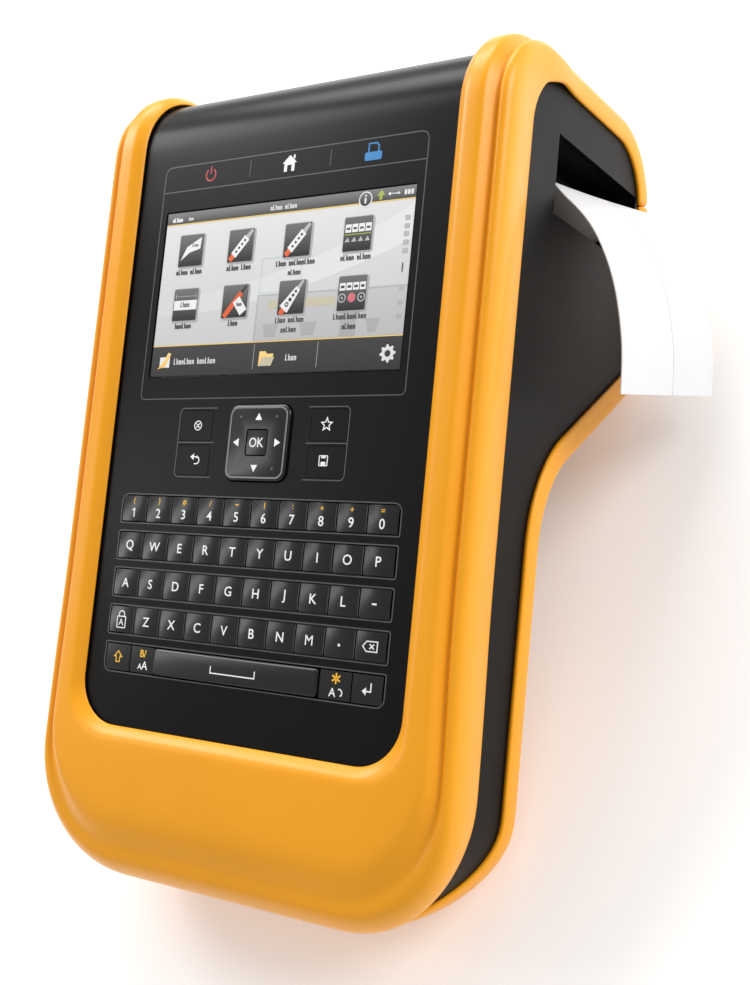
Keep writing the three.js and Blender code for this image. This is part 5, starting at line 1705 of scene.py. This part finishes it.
slope_ridges = bmesh.new()
RIDGE = {"half": 32, "radius": 1.1, "proud": 0.8, "from": 25, "to": 56}
slope = [(point, left) for point, left in rail_path if RIDGE["from"] < point.x < RIDGE["to"]][::2]
for point, left in slope:
    middle = Vector((0, point.x + left.x * RIDGE["proud"], point.y + left.y * RIDGE["proud"]))
    ends = [middle + Vector((x, 0, 0)) for x in (-RIDGE["half"], RIDGE["half"])]
    tube(slope_ridges, *ends, RIDGE["radius"], sides=12)
    for end in ends:
        bmesh.ops.create_uvsphere(slope_ridges, u_segments=12, v_segments=8, radius=RIDGE["radius"],
                                  matrix=Matrix.Translation(end))
finish_piece("slope_grip_ridges", slope_ridges, FINISH["rubber"], "housing", sharp=60)

BOARD_BACK = -9.2
chips = bmesh.new()
CHIPS = [  # x, y, width, height and how tall each one stands
    (-20, -26, 7, 7, 1.0), (-8, -24, 4, 5, 0.9), (2, 24, 10, 6, 1.2), (-40, 4, 8, 12, 1.1),
    (-38, 22, 5, 4, 0.8), (34, -14, 6, 6, 1.0), (-14, -44, 12, 5, 1.4),
]
for x, y, width, height, tall in CHIPS:
    rounded_block(chips, (x, x + width), (y, y + height), (BOARD_BACK - tall, BOARD_BACK), 0.2, segments=2)
finish_piece("board_chips", chips, FINISH["black"], "housing", rounding=0.12)
legs = bmesh.new()
for i in range(10):
    for x in (-40.6, -32.0):
        rounded_block(legs, (x, x + 0.7), (4.6 + 1.15 * i, 5.1 + 1.15 * i), (BOARD_BACK - 0.35, BOARD_BACK))
for i in range(14):
    rounded_block(legs, (-13.4 + 0.8 * i, -13.0 + 0.8 * i), (-45.2, -43.9), (BOARD_BACK - 0.35, BOARD_BACK))
for x, y in ((20, 32), (26, 32), (40, -30), (46, -30)):
    tube(legs, (x, y, BOARD_BACK), (x, y, BOARD_BACK - 4.2), 2.2, sides=20)
finish_piece("board_legs_and_capacitors", legs, FINISH["aluminium"], "housing",
             rounding=0.06)
sockets = bmesh.new()
for x, y, width, height in ((-50, 30, 14, 5), (4, -50, 18, 5), (40, 30, 10, 5)):
    rounded_block(sockets, (x, x + width), (y, y + height), (BOARD_BACK - 3.4, BOARD_BACK), 0.3)
finish_piece("board_sockets", sockets, FINISH["white"], "housing", rounding=0.15)

wrap = bmesh.new()
rounded_block(wrap, (-30, 30), (-66, -12), (-40.75, -40.55), 1.5)
finish_piece("battery_wrap_panel", wrap, INK["rim"], "housing", rounding=0.05)
contacts = bmesh.new()
for x in (-24, -16, 16, 24):
    rounded_block(contacts, (x - 2, x + 2), (-6.3, -5.7), (-34, -27), 0.2)
finish_piece("battery_contacts", contacts, FINISH["steel"], "housing", rounding=0.1)

tape_edges = bmesh.new()
for radius in (9, 11, 13, 15, 17, 19):
    for z, out in ((-40.4, 1), (-94.4, -1)):
        tube(tape_edges, (-20, 94, z - 0.2 * out), (-20, 94, z + 0.05 * out), radius + 0.25,
             sides=48, inner=radius - 0.25)
finish_piece("tape_windings", tape_edges, INK["line"], "tape_spool", sharp=60)

# %% [markdown]
# ## Floor, light and the last checks
#
# A plain pale floor and big soft lamps, as in a product studio: a wide key lamp from the right and
# above, a weaker one from the left, and a strip over the top edge that draws the long highlight where
# the black face rolls over.

# %% Floor
floor_mesh = bmesh.new()
bmesh.ops.create_grid(floor_mesh, x_segments=1, y_segments=1, size=6)
floor_data = bpy.data.meshes.new("floor")
floor_mesh.to_mesh(floor_data)
floor_mesh.free()
floor = bpy.data.objects.new("floor", floor_data)
bpy.context.scene.collection.objects.link(floor)
floor_material = bpy.data.materials.new("pale_floor")
floor_material.use_nodes = True
floor_shader = floor_material.node_tree.nodes["Principled BSDF"]
floor_shader.inputs["Base Color"].default_value = (0.93, 0.93, 0.93, 1)
floor_shader.inputs["Emission Color"].default_value = (0.95, 0.97, 1, 1)
floor_shader.inputs["Emission Strength"].default_value = 0.2
floor_shader.inputs["Roughness"].default_value = 0.9
floor_shader.inputs["Specular IOR Level"].default_value = 0.1
floor_data.materials.append(floor_material)


# %% Lamps
DEVICE_MIDDLE = (0, 0, 0.06)


def soft_lamp(name, place, size, power, aim=DEVICE_MIDDLE):
    """A rectangular lamp; place, size and aim in metres, power in watts."""
    lamp = bpy.data.lights.new(name, "AREA")
    lamp.shape = "RECTANGLE"
    lamp.size, lamp.size_y = size
    lamp.energy = power
    obj = bpy.data.objects.new(name, lamp)
    bpy.context.scene.collection.objects.link(obj)
    obj.location = place
    obj.rotation_euler = (Vector(aim) - Vector(place)).to_track_quat("-Z", "Y").to_euler()
    return obj


soft_lamp("key_lamp", (1.3, 0.75, 0.75), (0.8, 0.8), 14.5)
soft_lamp("left_lamp", (-1.1, 0.5, 1.1), (0.6, 0.9), 12)
soft_lamp("top_strip", (-0.35, 1.25, 0.85), (1.2, 0.5), 12)
# A tall narrow lamp whose reflection falls on the left third of each pillowed key.
keys_middle = DEVICE @ Vector((0, -18, 0))
strip_place = DEVICE @ Vector((-810, 20, 590))
soft_lamp("key_strip", strip_place, (0.12, 0.7), 0.8, aim=keys_middle)
world = bpy.data.worlds.new("studio")
world.use_nodes = True
world.node_tree.nodes["Background"].inputs["Color"].default_value = (1, 1, 1, 1)
world.node_tree.nodes["Background"].inputs["Strength"].default_value = 0.5
bpy.context.scene.world = world
bpy.context.scene.view_settings.view_transform = "Standard"
